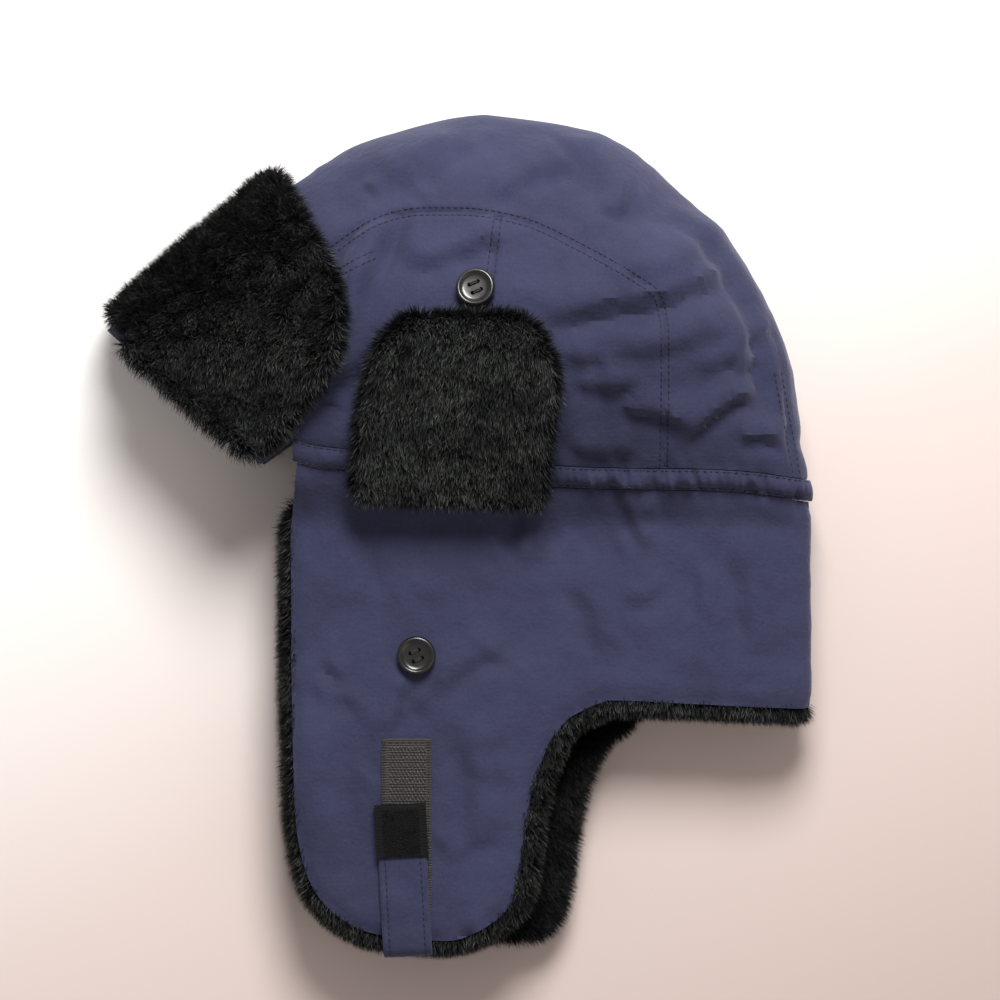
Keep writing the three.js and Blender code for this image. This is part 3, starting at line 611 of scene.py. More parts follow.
def navy_cloth():
    look = Look("navy_cloth", Sheen_Weight=0.22, Sheen_Roughness=0.45, Specular_IOR_Level=0.25,
                Sheen_Tint=(0.62, 0.66, 0.86, 1))
    place = look.place()
    slow = look.noise(22, 3.0, 0.6, place)
    nap = look.noise(900, 3.0, 0.7, place)
    tone = look.ramp(slow * 0.65 + nap * 0.35, (0.32, (0.023, 0.0255, 0.059)), (0.68, (0.041, 0.0445, 0.096)))
    look.use("Base Color", tone)
    look.use("Roughness", 0.78 + 0.14 * slow)
    warp = look.add("ShaderNodeTexWave", {"bands_direction": "X"}, {"Vector": place, "Scale": 620.0,
                                                                    "Distortion": 1.6, "Detail": 1.0}, "Fac")
    weft = look.add("ShaderNodeTexWave", {"bands_direction": "Y"}, {"Vector": place, "Scale": 620.0,
                                                                    "Distortion": 1.6, "Detail": 1.0}, "Fac")
    crumple = look.noise(75, 4.0, 0.62, place)
    look.bump(warp * weft * 0.08 + nap * 0.15 + crumple * 2.0, 0.0009, 0.7)
    return look.material


navy = navy_cloth()
shell = layer("hat_cloth", 0.0, CLOTH)
crown_region = np.vstack([[(-136, 80.6), (-74, 27.3)], seam_line + (0, CASING + GAP),
                          [(172, 185), (-90, 185), (-165, 110), (-165, 97)]])
side_region = np.vstack([SIDE_SEAM, [(-140, 8), (-140, 42)]])
back_wrap = np.array([(160, 8), (135.5, 8), (134.5, 21), (126.5, 62), (122, 78), (160, 78)])
front_half = np.array([(18, 130), (15, 97), (13, 8), (-160, 8), (-160, 130)])
whole = [(-200, -200), (200, -200), (200, 200), (-200, 200)]

crown_cut = prism(crown_region)
side_cut = prism(side_region)
wrap_cut = prism(back_wrap)
far_back_cut = prism([(82, 8), (160, 8), (160, 78), (96, 78), (82, 80)], -40, CROWN_FOLD)
near_cut = prism(whole, CROWN_FOLD, 200)
far_cut = prism(whole, -60, CROWN_FOLD)
front_cut = prism(front_half)

crown = cut(copy_of(shell, "crown"), ("INTERSECT", crown_cut))
centre = cut(copy_of(crown, "centre"), ("DIFFERENCE", side_cut), ("DIFFERENCE", wrap_cut),
             ("DIFFERENCE", far_back_cut))
near_side = cut(copy_of(crown, "near_side"), ("INTERSECT", side_cut), ("INTERSECT", near_cut),
                ("DIFFERENCE", wrap_cut))
far_side = cut(copy_of(crown, "far_side"), ("INTERSECT", side_cut), ("INTERSECT", far_cut),
               ("DIFFERENCE", far_back_cut))
wrapped = cut(copy_of(crown, "wrapped"), ("INTERSECT", wrap_cut))
far_rear = cut(copy_of(crown, "far_rear"), ("INTERSECT", far_back_cut), ("DIFFERENCE", wrap_cut))


def as_sheet(piece):
    """Reads a cloth piece's vertex positions into an array; nothing more is done with them."""
    corners = np.empty(len(piece.data.vertices) * 3, np.float32)
    piece.data.vertices.foreach_get("co", corners)


def crown_panel(piece, name, *nodes):
    finish_piece(piece, name, navy)
    as_sheet(piece)
    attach(piece, "crown")
    if nodes:
        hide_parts(*nodes)


near_front = cut(copy_of(near_side, "near_front"), ("INTERSECT", front_cut))
far_front = cut(copy_of(far_side, "far_front"), ("INTERSECT", front_cut))
crown_panel(centre, "centre_panel", "crown_centre_panel")
crown_panel(near_front, "side_panel_front_left", "crown_side_front_left")
crown_panel(cut(near_side, ("DIFFERENCE", front_cut)), "side_panel_rear_left", "crown_side_rear_left")
crown_panel(far_front, "side_panel_front_right", "crown_side_front_right")
crown_panel(cut(far_side, ("DIFFERENCE", front_cut)), "side_panel_rear_right", "crown_side_rear_right")
crown_panel(far_rear, "side_panel_nape_right", "crown_side_rear_right")
crown_panel(wrapped, "side_panel_wrap_right", "crown_side_rear_right")

# ---------- Wadding and lining of the crown ----------
# Bonded grey wadding under the cloth and a smooth quilted lining inside it, both cut to the crown's
# outline and caught in its seams.


def wadding_look():
    look = Look("bonded_wadding", Roughness=0.95)
    fibres = look.noise(420, 4.0, 0.7)
    look.use("Base Color", look.ramp(fibres, (0.3, (0.055, 0.055, 0.06)), (0.7, (0.11, 0.11, 0.115))))
    look.bump(fibres, 0.0004)
    return look.material


def quilt_look():
    look = Look("quilted_lining", Sheen_Weight=0.3)
    place = look.place()
    fine = look.noise(700, 2.0, 0.6, place)
    look.use("Base Color", look.ramp(fine, (0.3, (0.014, 0.015, 0.022)), (0.7, (0.026, 0.027, 0.038))))
    look.use("Roughness", 0.5 + 0.2 * fine)
    rows = look.add("ShaderNodeTexWave", {"bands_direction": "DIAGONAL"},
                    {"Vector": place, "Scale": 14.0, "Distortion": 0.6}, "Fac")
    look.bump((1 - rows) ** 8.0 * -1.0 + 0.1 * fine, 0.0014)
    return look.material


lining_top = CLOTH + GAP + WADDING + GAP
padding = layer("padding", CLOTH + GAP, CLOTH + GAP + WADDING, across_near=110, across_far=70, rows=120)
cut(padding, ("INTERSECT", crown_cut))
finish_piece(padding, "crown_padding", wadding_look())
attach(padding, "crown")
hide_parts("crown_wadding")

inner = layer("inner", lining_top, lining_top + 1.2, across_near=110, across_far=70, rows=120)
cut(inner, ("INTERSECT", crown_cut))
finish_piece(inner, "crown_inner_lining", quilt_look())
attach(inner, "crown")
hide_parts("crown_lining")
as_sheet(inner)

# ---------- Band: gathered casing with its elastic ----------
# A narrow cloth casing sewn over the seam of the crown and the skirt. The elastic inside it draws
# the cloth into short puckers, tightest at the back.


def puckers(x, y, z):
    across = (y - band_y(x)) / CASING
    belly = np.clip(1 - (2 * across - 1) ** 2, 0, 1)
    pull = mix(0.35, 1.0, smooth((x - 10) / 50))
    ridges = ripple(x + 1.2 * (across - 0.5), 2.0, 5.4) + 0.5 * ripple(x - 2 * across, 5.0, 3.1)
    return belly * (0.5 + 0.75 * pull * ridges)


casing = layer("casing", -1.0, CLOTH, across_near=420, across_far=200, rows=330, extra=puckers)
strip = np.vstack([seam_line + (0, GAP), (seam_line + (0, CASING))[::-1]])
cut(casing, ("INTERSECT", prism(strip)))
casing_copy = copy_of(casing, "casing_copy")
finish_piece(casing, "band_cover", navy, angle=60)
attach(casing, "crown")
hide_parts("band_casing")
as_sheet(casing)

# ---------- Skirt cloth: neck guard and ear flaps ----------
# The same navy cloth, one piece for each side of the head, sewn to the band and turned under along
# its lower edge.
near_skirt = cut(copy_of(shell, "near_skirt"), ("INTERSECT", prism(SKIRT_EDGE)),
                 ("INTERSECT", prism(whole, SKIRT_FOLD, 200)))
far_skirt = cut(copy_of(shell, "far_skirt"), ("INTERSECT", prism(skirt_outline(FAR_SPREAD))),
                ("INTERSECT", prism(whole, -60, SKIRT_FOLD)))
near_skirt_copy = copy_of(near_skirt, "near_skirt_copy")
far_skirt_copy = copy_of(far_skirt, "far_skirt_copy")
away = HINGE[1] - HINGE[0]
away = np.array([away[1], -away[0]]) / np.hypot(*away)
hinge_middle = (HINGE[0] + HINGE[1]) / 2 + (SHIFT_X, SHIFT_Y)
BEND = 9


def bend_at_flap(piece):
    """Bakes a skirt piece's transform into its mesh; the fold line's ends are worked out but not used."""
    start, end = hinge_middle - BEND * away, hinge_middle + BEND * away
    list(start * MM)
    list(end * MM)
    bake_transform(piece)


for piece, side, nodes in ((near_skirt, "left", ["neck_guard_shell", "left_flap_shell"]),
                           (far_skirt, "right", ["right_flap_shell"])):
    finish_piece(piece, f"skirt_cloth_{side}", navy)
    bend_at_flap(piece)
    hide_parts(*nodes)
    as_sheet(piece)

# ---------- Fur: pile bodies and their hair ----------
# Dense synthetic fur, knitted into a backing: a nearly black underlayer with longer guard hairs
# whose tips are a dusty green-grey, made lighter still by painted highlight; the far pieces use a
# darker copy with painted shade. The hair is combed away from the hinge of each piece.
PATCH_STACK = 10.8


def pile_look(name, tip_colour, root_colour):
    look = Look(name, Specular_IOR_Level=0.16, Sheen_Weight=0.03, Sheen_Roughness=0.5)
    along = look.add("ShaderNodeAttribute", {"attribute_name": "along_hair"}, {}, "Fac")
    shade = look.add("ShaderNodeAttribute", {"attribute_name": "hair_shade"}, {}, "Fac")
    patch = look.noise(70, 3.0, 0.6)
    # Lighter hair tips: partly the fur's own dusty green-grey guard-hair tips, partly painted highlight.
    light = along ** 3.0 * shade ** 2.5 * look.ramp(patch, (0.35, (0.35,) * 3), (0.62, (1.0,) * 3))
    look.use("Base Color", look.blend(light, (*root_colour, 1), (*tip_colour, 1)))
    look.use("Roughness", 0.75 - 0.22 * along)
    return look.material


near_fur_look = pile_look("dusty_fur", (0.26, 0.285, 0.26), (0.0012, 0.0013, 0.0026))
# The same fur with darker tips, as painted shade, for the far pieces that lie underneath.
shaded_fur_look = pile_look("fur_painted_shade", (0.11, 0.118, 0.115), (0.0012, 0.0013, 0.0022))


def one_hair():
    """A flat tapering hair, one unit long, that curls over towards +Y."""
    levels = [(0.0, 1.0, 0.0), (0.55, 0.8, 0.08)]
    points = [(side * 0.5 * width, bend, up) for up, width, bend in levels for side in (-1, 1)]
    points.append((0, 0.28, 1.0))
    faces = [(0, 1, 3, 2), (2, 3, 4)]
    hair = new_object("hair", points, faces)
    place = hair.data.attributes.new("along_hair", "FLOAT", "POINT")
    place.data.foreach_set("value", [0.0, 0.0, 0.55, 0.55, 1.0])
    return hair


hair_shape = one_hair()


class Recipe:
    """A Geometry Nodes tree: add() makes a node from its type, its settings and its sockets."""

    def __init__(self, name, **inputs):
        self.tree = bpy.data.node_groups.new(name, "GeometryNodeTree")
        self.tree.interface.new_socket("Geometry", in_out="INPUT", socket_type="NodeSocketGeometry")
        self.tree.interface.new_socket("Geometry", in_out="OUTPUT", socket_type="NodeSocketGeometry")
        kinds = {float: "Float", int: "Int", tuple: "Vector", bpy.types.Material: "Material",
                 bpy.types.Object: "Object"}
        self.identifiers = {}
        for key, kind in inputs.items():
            socket = self.tree.interface.new_socket(key, in_out="INPUT",
                                                    socket_type="NodeSocket" + kinds[kind])
            self.identifiers[key] = socket.identifier
        self.entry = self.tree.nodes.new("NodeGroupInput")
        self.exit = self.tree.nodes.new("NodeGroupOutput")

    def given(self, key):
        return self.entry.outputs[key]

    def add(self, kind, settings, sockets, output=0):
        node = self.tree.nodes.new(kind)
        for key, value in settings.items():
            setattr(node, key, value)
        for key, value in sockets.items():
            many = value if isinstance(value, list) else [value]
            for each in many:
                if isinstance(each, bpy.types.NodeSocket):
                    self.tree.links.new(each, node.inputs[key])
                else:
                    node.inputs[key].default_value = each
        return node.outputs[output]

    def finish(self, geometry, material):
        flat = self.add("GeometryNodeRealizeInstances", {}, {"Geometry": geometry})
        dressed = self.add("GeometryNodeSetMaterial", {}, {"Geometry": flat, "Material": material})
        self.tree.links.new(dressed, self.exit.inputs[0])

    def apply(self, piece, **values):
        """Runs the tree on a piece and leaves its result as the piece's plain mesh."""
        modifier = piece.modifiers.new("recipe", "NODES")
        modifier.node_group = self.tree
        for key, value in values.items():
            modifier[self.identifiers[key]] = value
        graph = bpy.context.evaluated_depsgraph_get()
        mesh = bpy.data.meshes.new_from_object(piece.evaluated_get(graph), depsgraph=graph)
        piece.modifiers.clear()
        old = piece.data
        piece.data = mesh
        bpy.data.meshes.remove(old)


def hair_recipe():
    recipe = Recipe("grow_hair", Density=float, Length=float, Width=float, Lean=float, Comb=tuple,
                    Unruly=float,
                    Seed=int, Hair=bpy.types.Object, Fur=bpy.types.Material)
    body = recipe.given("Geometry")
    thick = recipe.add("GeometryNodeInputNamedAttribute", {"data_type": "FLOAT"}, {"Name": "thickness"})
    density = recipe.add("ShaderNodeMath", {"operation": "MULTIPLY"}, {0: thick, 1: recipe.given("Density")})
    scatter = recipe.tree.nodes.new("GeometryNodeDistributePointsOnFaces")
    recipe.tree.links.new(body, scatter.inputs["Mesh"])
    recipe.tree.links.new(density, scatter.inputs["Density"])
    recipe.tree.links.new(recipe.given("Seed"), scatter.inputs["Seed"])
    normal = scatter.outputs["Normal"]
    place = recipe.add("GeometryNodeInputPosition", {}, {})
    clumps = recipe.add("ShaderNodeTexNoise", {}, {"Vector": place, "Scale": 0.16, "Detail": 2.0}, "Color")
    swirl = recipe.add("ShaderNodeVectorMath", {"operation": "SUBTRACT"}, {0: clumps, 1: (0.5, 0.5, 0.5)})
    swirl = recipe.add("ShaderNodeVectorMath", {"operation": "SCALE"},
                       {0: swirl, "Scale": recipe.given("Unruly")})
    stray = recipe.add("FunctionNodeRandomValue", {"data_type": "FLOAT_VECTOR"},
                       {"Min": (-0.32, -0.32, -0.32), "Max": (0.32, 0.32, 0.32), "Seed": recipe.given("Seed")})
    combed = recipe.add("ShaderNodeVectorMath", {"operation": "SCALE"},
                        {0: recipe.given("Comb"), "Scale": recipe.given("Lean")})
    way = recipe.add("ShaderNodeVectorMath", {"operation": "ADD"}, {0: normal, 1: combed})
    way = recipe.add("ShaderNodeVectorMath", {"operation": "ADD"}, {0: way, 1: swirl})
    way = recipe.add("ShaderNodeVectorMath", {"operation": "ADD"}, {0: way, 1: stray})
    turn = recipe.add("FunctionNodeAlignRotationToVector", {"axis": "Z"}, {"Vector": way})
    turn = recipe.add("FunctionNodeAlignRotationToVector", {"axis": "Y", "pivot_axis": "Z"},
                      {"Rotation": turn, "Vector": combed})
    spin = recipe.add("FunctionNodeRandomValue", {"data_type": "FLOAT"},
                      {2: -0.8, 3: 0.8, "Seed": recipe.given("Seed")}, 1)
    spin = recipe.add("ShaderNodeCombineXYZ", {}, {"Z": spin})
    turn = recipe.add("FunctionNodeRotateRotation", {"rotation_space": "LOCAL"},
                      {"Rotation": turn, "Rotate By": spin})
    grow = recipe.add("FunctionNodeRandomValue", {"data_type": "FLOAT"}, {2: 0.6, 3: 1.15, "Seed": 7}, 1)
    tall = recipe.add("ShaderNodeMath", {"operation": "MULTIPLY"}, {0: grow, 1: recipe.given("Length")})
    size = recipe.add("ShaderNodeCombineXYZ", {}, {"X": recipe.given("Width"), "Y": tall, "Z": tall})
    hair = recipe.add("GeometryNodeObjectInfo", {}, {"Object": recipe.given("Hair")}, "Geometry")
    tufts = recipe.add("GeometryNodeInstanceOnPoints", {}, {"Points": scatter.outputs["Points"], "Instance": hair,
                                                             "Rotation": turn, "Scale": size})
    shade = recipe.add("FunctionNodeRandomValue", {"data_type": "FLOAT"}, {2: 0.0, 3: 1.0, "Seed": 11}, 1)
    tufts = recipe.add("GeometryNodeStoreNamedAttribute", {"data_type": "FLOAT", "domain": "INSTANCE"},
                       {"Geometry": tufts, "Name": "hair_shade", "Value": shade})
    recipe.finish(recipe.add("GeometryNodeJoinGeometry", {}, {"Geometry": [body, tufts]}), recipe.given("Fur"))
    return recipe


grow_hair = hair_recipe()
FULL = 1.0  # share of the hairs that are grown


def remeshed(piece, voxel=1.7, smoothing=4):
    """Rounds a pile body's cut corners by a voxel remesh and some smoothing."""
    modifier = piece.modifiers.new("remesh", "REMESH")
    modifier.mode = "VOXEL"
    modifier.voxel_size = voxel
    soften = piece.modifiers.new("soften", "SMOOTH")
    soften.iterations = smoothing
    graph = bpy.context.evaluated_depsgraph_get()
    mesh = bpy.data.meshes.new_from_object(piece.evaluated_get(graph), depsgraph=graph)
    piece.modifiers.clear()
    old = piece.data
    piece.data = mesh
    bpy.data.meshes.remove(old)
    return piece


def vertex_arrays(piece):
    mesh = piece.data
    points = np.empty(len(mesh.vertices) * 3)
    mesh.vertices.foreach_get("co", points)
    normals = np.empty(len(mesh.vertices) * 3)
    mesh.vertices.foreach_get("normal", normals)
    return points.reshape(-1, 3), normals.reshape(-1, 3)


def furred(piece, name, look, thickness, density, length, lean, comb, seed, unruly=1.1, width=0.34):
    """Grows hair on a pile body; thickness(points, normals) says how much, from 0 to 1."""
    points, normals = vertex_arrays(piece)
    amount = piece.data.attributes.new("thickness", "FLOAT", "POINT")
    amount.data.foreach_set("value", thickness(points, normals).astype(np.float32))
    grow_hair.apply(piece, Density=float(density * FULL), Length=float(length), Width=float(width),
                    Lean=float(lean), Comb=comb, Unruly=float(unruly), Seed=seed, Hair=hair_shape, Fur=look)
    points, _ = vertex_arrays(piece)
    points[:, 2] = np.maximum(points[:, 2], 0.25)  # hair that reaches the table lies along it
    piece.data.vertices.foreach_set("co", points.ravel())
    piece.data.update()
    return finish_piece(piece, name, look, angle=180)


def mostly_up(points, normals):
    return np.clip(0.15 + 1.2 * smooth((normals[:, 2] + 0.35) / 0.6), 0.1, 1)


def mostly_down(points, normals):
    side = smooth(1 - np.abs(normals[:, 2]) * 1.2)
    return np.clip(0.06 + side + 0.3 * smooth((normals[:, 2] - 0.2) / 0.4), 0.05, 1)


# ---------- Skirt fur ----------
# The lining of the skirt: it stands out past the cloth's edge as a thick lip, all round each ear
# flap and along the neck guard, and it faces inwards between the two sides.
reach = np.concatenate([edge_line[:, 2], np.full(np.sum(top_line[:, 0] > -60), 0.0)])
reach[0] = 4
LIP_HAIR = 3.0


def skirt_pile(side, spread, low, high, look, length, comb, seed):
    outline = skirt_outline(spread)
    body = layer("pile", CLOTH + 1.3, 10.0, across_near=120, across_far=80, rows=130, folds=0.9)
    cut(body, ("INTERSECT", prism(grown(outline, reach - LIP_HAIR))), ("INTERSECT", prism(whole, low, high)))
    remeshed(body)

    def thickness(points, normals):
        lip = smooth((signed_gap(points[:, 0], points[:, 1], outline) + 1.2) / 1.6)
        facing = normals[:, 2] if side == "right" else -normals[:, 2]
        inner = 0.13 * smooth((facing - 0.2) / 0.4) * smooth((130 - points[:, 0]) / 8)
        if side == "right":  # the far flap's inner face shows behind the near flap's edge
            seen = smooth((signed_gap(points[:, 0], points[:, 1], SKIRT_EDGE) + 2) / 4)
            inner = np.maximum(inner, 0.9 * seen * smooth((facing + 0.1) / 0.4))
        return np.maximum(lip * smooth((points[:, 1] * -1 + 22) / 6), inner)

    furred(body, f"skirt_fur_{side}", look, thickness, 8.0, length, 0.35, comb, seed)
    bend_at_flap(body)
    return body


near_pile = skirt_pile("left", (0, 0), SKIRT_FOLD + 0.8, 200, near_fur_look, 5.6, (0.0, -0.6, 0.0), 21)
# The far flap's pile takes the fur copy with painted shade.
far_pile = skirt_pile("right", FAR_SPREAD, -60, SKIRT_FOLD - 0.8, shaded_fur_look, 7.5, (0.5, -0.6, 0.1), 22)
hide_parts("neck_guard_fur", "left_flap_fur")
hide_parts("right_flap_fur")

# ---------- Ear hatches ----------
# A D-shaped fur-faced patch over each ear, backed with navy cloth, sewn under the band and closed
# with an elastic loop on the crown's button.
HATCH_EDGE = [(-39, 17), (-37, 33), (-35.5, 50), (-30, 71), (-21.5, 82), (-13, 85.2), (4, 85.2), (23, 84.8),
              (32, 81.5), (38, 72), (42, 60), (40.5, 48), (38.5, 36), (37, 15)]
VISOR_EDGE = [(-134.5, 84), (-127.4, 78), (-104, 57.5), (-81.4, 38.5), (-72, 31), (-55, 50), (-42, 69), (-41, 92),
              (-50, 113), (-62, 133), (-68, 141.5), (-82, 139.5), (-140, 96)]
hatch_line = rounded(HATCH_EDGE, 4)


def patch_body(outline, side, inset, pile, roll):
    """Pile body of a hatch or half visor, with the roll that it turns on."""
    body = layer("pile", -(PATCH_STACK - pile), -2 * GAP - 1.2, across_near=130, across_far=90, rows=150)
    low, high = (CROWN_FOLD + 0.5, 200) if side == "left" else (-60, CROWN_FOLD - 0.5)
    cut(body, ("INTERSECT", prism(grown(outline, -inset))), ("INTERSECT", prism(whole, low, high)))
    if roll is not None:
        bm = bmesh.new()
        bm.from_mesh(body.data)
        a, b = (Vector(end) for end in roll)
        turn = (b - a).to_track_quat("Z", "Y").to_matrix().to_4x4()
        bmesh.ops.create_cone(bm, cap_ends=True, segments=20, radius1=2.6, radius2=2.6,
                              depth=(b - a).length - 3, matrix=Matrix.Translation((a + b) / 2) @ turn)
        bm.to_mesh(body.data)
        bm.free()
    return remeshed(body, 1.5, 5)


def hinge_roll(joint, ends):
    """Ends of a hinge line at the height of a joint's axis, in the pattern's millimetres."""
    facts = frame["joints"]
    facts = facts[joint] if isinstance(facts, dict) else next(j for j in facts if j["name"] == joint)
    middle = Vector(facts["pos_m"]) / MM - Vector((SHIFT_X, SHIFT_Y, 0))
    axis = Vector(facts["axis"])
    half = (Vector((*ends[1], 0)) - Vector((*ends[0], 0))).length / 2
    return middle - axis * half, middle + axis * half


HATCH_HINGE = [(-37.5, 17.5), (36.5, 14.5)]
VISOR_HINGE = [(-128, 75.5), (-76, 30.7)]
sides = (("left", mostly_up, 8.0), ("right", mostly_down, 1.6))
hatch_fold = np.mean(HATCH_HINGE, axis=0) + (SHIFT_X, SHIFT_Y)
for index, (side, thickness, density) in enumerate(sides):
    # The far pieces take the fur copy with painted shade.
    look = near_fur_look if side == "left" else shaded_fur_look
    hatch = patch_body(hatch_line, side, 2.2, 3.0, hinge_roll(f"{side}_hatch_fold", HATCH_HINGE))
    furred(hatch, f"ear_hatch_{side}", look, thickness, density, 6.0, 0.25, (0.1, -0.8, 0.0), 31 + index,
           unruly=2.0)
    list((hatch_fold - (0, 6)) * MM)
    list((hatch_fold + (0, 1)) * MM)
    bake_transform(hatch)
    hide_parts(f"{side}_hatch_fur")

# ---------- Visor ----------
# One fur-faced visor folded along its middle and turned up against the crown, so it lies as two
# halves, one over the other, sewn along the forehead.
for index, (side, thickness, density) in enumerate(sides):
    look = near_fur_look if side == "left" else shaded_fur_look
    visor = patch_body(rounded(VISOR_EDGE, 3), side, 2.2, 3.0, hinge_roll(f"visor_{side}_fold", VISOR_HINGE))
    furred(visor, f"visor_half_{side}", look, thickness, density, 6.0, 0.3, (0.25, -0.5, 0.0), 41 + index,
           unruly=2.0)
    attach(visor, f"visor_{side}")
    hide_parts(f"visor_{side}_fur")

# ---------- Backings of the hatches and the visor ----------
# Navy cloth sewn to the back of each fur patch, a little smaller than its pile.
VISOR_BACKING = [(-129, 83), (-83, 42), (-70, 38), (-45, 71), (-44, 91), (-65, 131), (-74, 138), (-136, 93)]
backing = layer("backing", -GAP - 1.0, -GAP, across_near=130, across_far=90, rows=150)
hatch_back = [(x, max(y, 21.5)) for x, y in hatch_line]
for kind, outline in (("hatch", grown(hatch_back, -2.6)), ("visor", VISOR_BACKING)):
    for side in ("left", "right"):
        piece = copy_of(backing, "backing_copy")
        low, high = (CROWN_FOLD + 0.3, 200) if side == "left" else (-60, CROWN_FOLD - 0.3)
        cut(piece, ("INTERSECT", prism(outline)), ("INTERSECT", prism(whole, low, high)))
        name, body = (f"ear_hatch_backing_{side}", f"{side}_hatch")
        if kind == "visor":
            name, body = (f"visor_backing_{side}", f"visor_{side}")
        finish_piece(piece, name, navy)
        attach(piece, body)
        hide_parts(f"{side}_hatch_cloth" if kind == "hatch" else f"visor_{side}_cloth")
        as_sheet(piece)

# ---------- Seam stitches ----------
# Two rows of lockstitch along each seam of the crown and one along each edge of the band, in a
# thread a shade darker than the cloth.
STITCH_PITCH = 2.5


def tree_of(*pieces):
    """A search tree over pieces that are still in the pattern's millimetres."""
    bm = bmesh.new()
    for piece in pieces:
        bm.from_mesh(piece.data)
    tree = BVHTree.FromBMesh(bm)
    bm.free()
    return tree


def landed(tree, x, y, near=True):
    """Height of the cloth over or under a point."""
    hit = tree.ray_cast(Vector((x, y, 200 if near else -60)), Vector((0, 0, -1 if near else 1)))[0]
    return None if hit is None else hit.z


def offset_line(line, distance):
    ahead = np.gradient(np.array(line, float), axis=0)
    ahead /= np.maximum(np.linalg.norm(ahead, axis=1, keepdims=True), 1e-9)
    return np.array(line) + distance * np.stack([-ahead[:, 1], ahead[:, 0]], -1)


def capsule(name, length, thick):
    """One stitch: a short rounded thread along X."""
    bm = bmesh.new()
    bmesh.ops.create_uvsphere(bm, u_segments=6, v_segments=4, radius=0.5)
    mesh = bpy.data.meshes.new(name)
    bm.to_mesh(mesh)
    bm.free()
    mesh.transform(Matrix.Diagonal((thick, thick, length, 1)))
    mesh.transform(Matrix.Rotation(math.pi / 2, 4, "Y"))
    piece = bpy.data.objects.new(name, mesh)
    bpy.context.scene.collection.objects.link(piece)
    return piece


def stitch_recipe():
    recipe = Recipe("sew_stitches", Pitch=float, Stitch=bpy.types.Object, Thread=bpy.types.Material)
    curve = recipe.add("GeometryNodeMeshToCurve", {}, {"Mesh": recipe.given("Geometry")})
    even = recipe.add("GeometryNodeResampleCurve", {"mode": "LENGTH"},
                      {"Curve": curve, "Length": recipe.given("Pitch")})
    along = recipe.add("GeometryNodeInputTangent", {}, {})
    turn = recipe.add("FunctionNodeAlignRotationToVector", {"axis": "X"}, {"Vector": along})
    stitch = recipe.add("GeometryNodeObjectInfo", {}, {"Object": recipe.given("Stitch")}, "Geometry")
    row = recipe.add("GeometryNodeInstanceOnPoints", {},
                     {"Points": even, "Instance": stitch, "Rotation": turn})
    recipe.finish(row, recipe.given("Thread"))
    return recipe


def thread_look():
    look = Look("sewing_thread", Roughness=0.6)
    twist = look.noise(1500, 1.0)
    look.use("Base Color", look.ramp(twist, (0.3, (0.004, 0.0045, 0.010)), (0.7, (0.011, 0.012, 0.024))))
    return look.material


sew = stitch_recipe()
navy_thread = thread_look()
stitch_shape = capsule("stitch", 1.9, 0.5)


def sewn(name, rows, body, pitch=STITCH_PITCH, thread=None):
    """Rows of stitches along lists of points in space."""
    points, edges = [], []
    for row in rows:
        edges += [(len(points) + i, len(points) + i + 1) for i in range(len(row) - 1)]
        points += [tuple(p) for p in row]
    mesh = bpy.data.meshes.new(name)
    mesh.from_pydata(points, edges, [])
    piece = bpy.data.objects.new(name, mesh)
    bpy.context.scene.collection.objects.link(piece)
    sew.apply(piece, Pitch=float(pitch), Stitch=stitch_shape, Thread=thread or navy_thread)
    finish_piece(piece, name, thread or navy_thread, angle=180)
    if body:
        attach(piece, body)
    return piece


def on_cloth(tree, line, offset, near=True, lift=0.12):
    rows, row = [], []
    dense = spaced(offset_line(line, offset), 160)
    for x, y in dense:
        z = landed(tree, x, y, near)
        if z is None:
            if len(row) > 3:
                rows.append(row)
            row = []
        else:
            row.append((x, y, z + (lift if near else -lift)))
    return rows + ([row] if len(row) > 3 else [])


crown_tree = tree_of(crown)
casing_tree = tree_of(casing_copy)
seam_rows = []
side_line = np.vstack([SIDE_SEAM[1:-1], [(82, 25)]])
for line in (side_line, SHORT_SEAM, FAR_SEAM[1:], FOREHEAD_SEAM):
    dense = spaced(np.array(line, float), 80)
    for offset in (-1.4, 1.5):
        seam_rows += on_cloth(crown_tree, dense, offset)
for line in (side_line,):
    dense = spaced(np.array(line, float), 80)
    for offset in (-1.4, 1.5):
        seam_rows += on_cloth(crown_tree, dense, offset, near=False)
sewn("crown_seam_stitches", seam_rows, "crown")
band_rows = []
for offset in (0.9, CASING - 0.7):
    for near in (True, False):
        band_rows += on_cloth(casing_tree, seam_line, offset, near)
sewn("band_stitches", band_rows, "crown")

# ---------- Buttons ----------
# Four-hole resin buttons with a raised rim, sewn on with two bridges of doubled black thread: one on
# the crown over each ear, which holds the hatch's loop, and one on each ear flap.
RIM = [(0, 0), (4.9, 0), (6.3, 0.25), (7.1, 0.8), (7.5, 1.5), (7.48, 2.1), (7.2, 2.65), (6.75, 2.95), (6.3, 2.98),
       (5.95, 2.8), (5.6, 2.45), (5.0, 2.12), (4.2, 2.0), (0, 1.95)]
HOLE_REACH = 3.4 / math.sqrt(2)
HOLE_TURN = 0.4
WINDING = 2.0  # radius of the thread wound round the shank
CROWN_BUTTON, FLAP_BUTTON = (10, 93.6), (-13.5, -47.2)
CROWN_SHANK, FLAP_SHANK = 2.2, 1.5
CORD_LIFT = 0.9  # middle of the loop's cord over the cloth


def lathe(name, profile, segments=48):
    points, faces = [], []
    for radius, height in profile[1:-1]:
        for i in range(segments):
            angle = 2 * math.pi * i / segments
            points.append((radius * math.cos(angle), radius * math.sin(angle), height))
    for j in range(len(profile) - 3):
        for i in range(segments):
            a, b = j * segments + i, j * segments + (i + 1) % segments
            faces.append((a, b, b + segments, a + segments))
    faces.append(list(range(segments))[::-1])
    last = (len(profile) - 3) * segments
    faces.append(list(range(last, last + segments)))
    return new_object(name, points, faces)


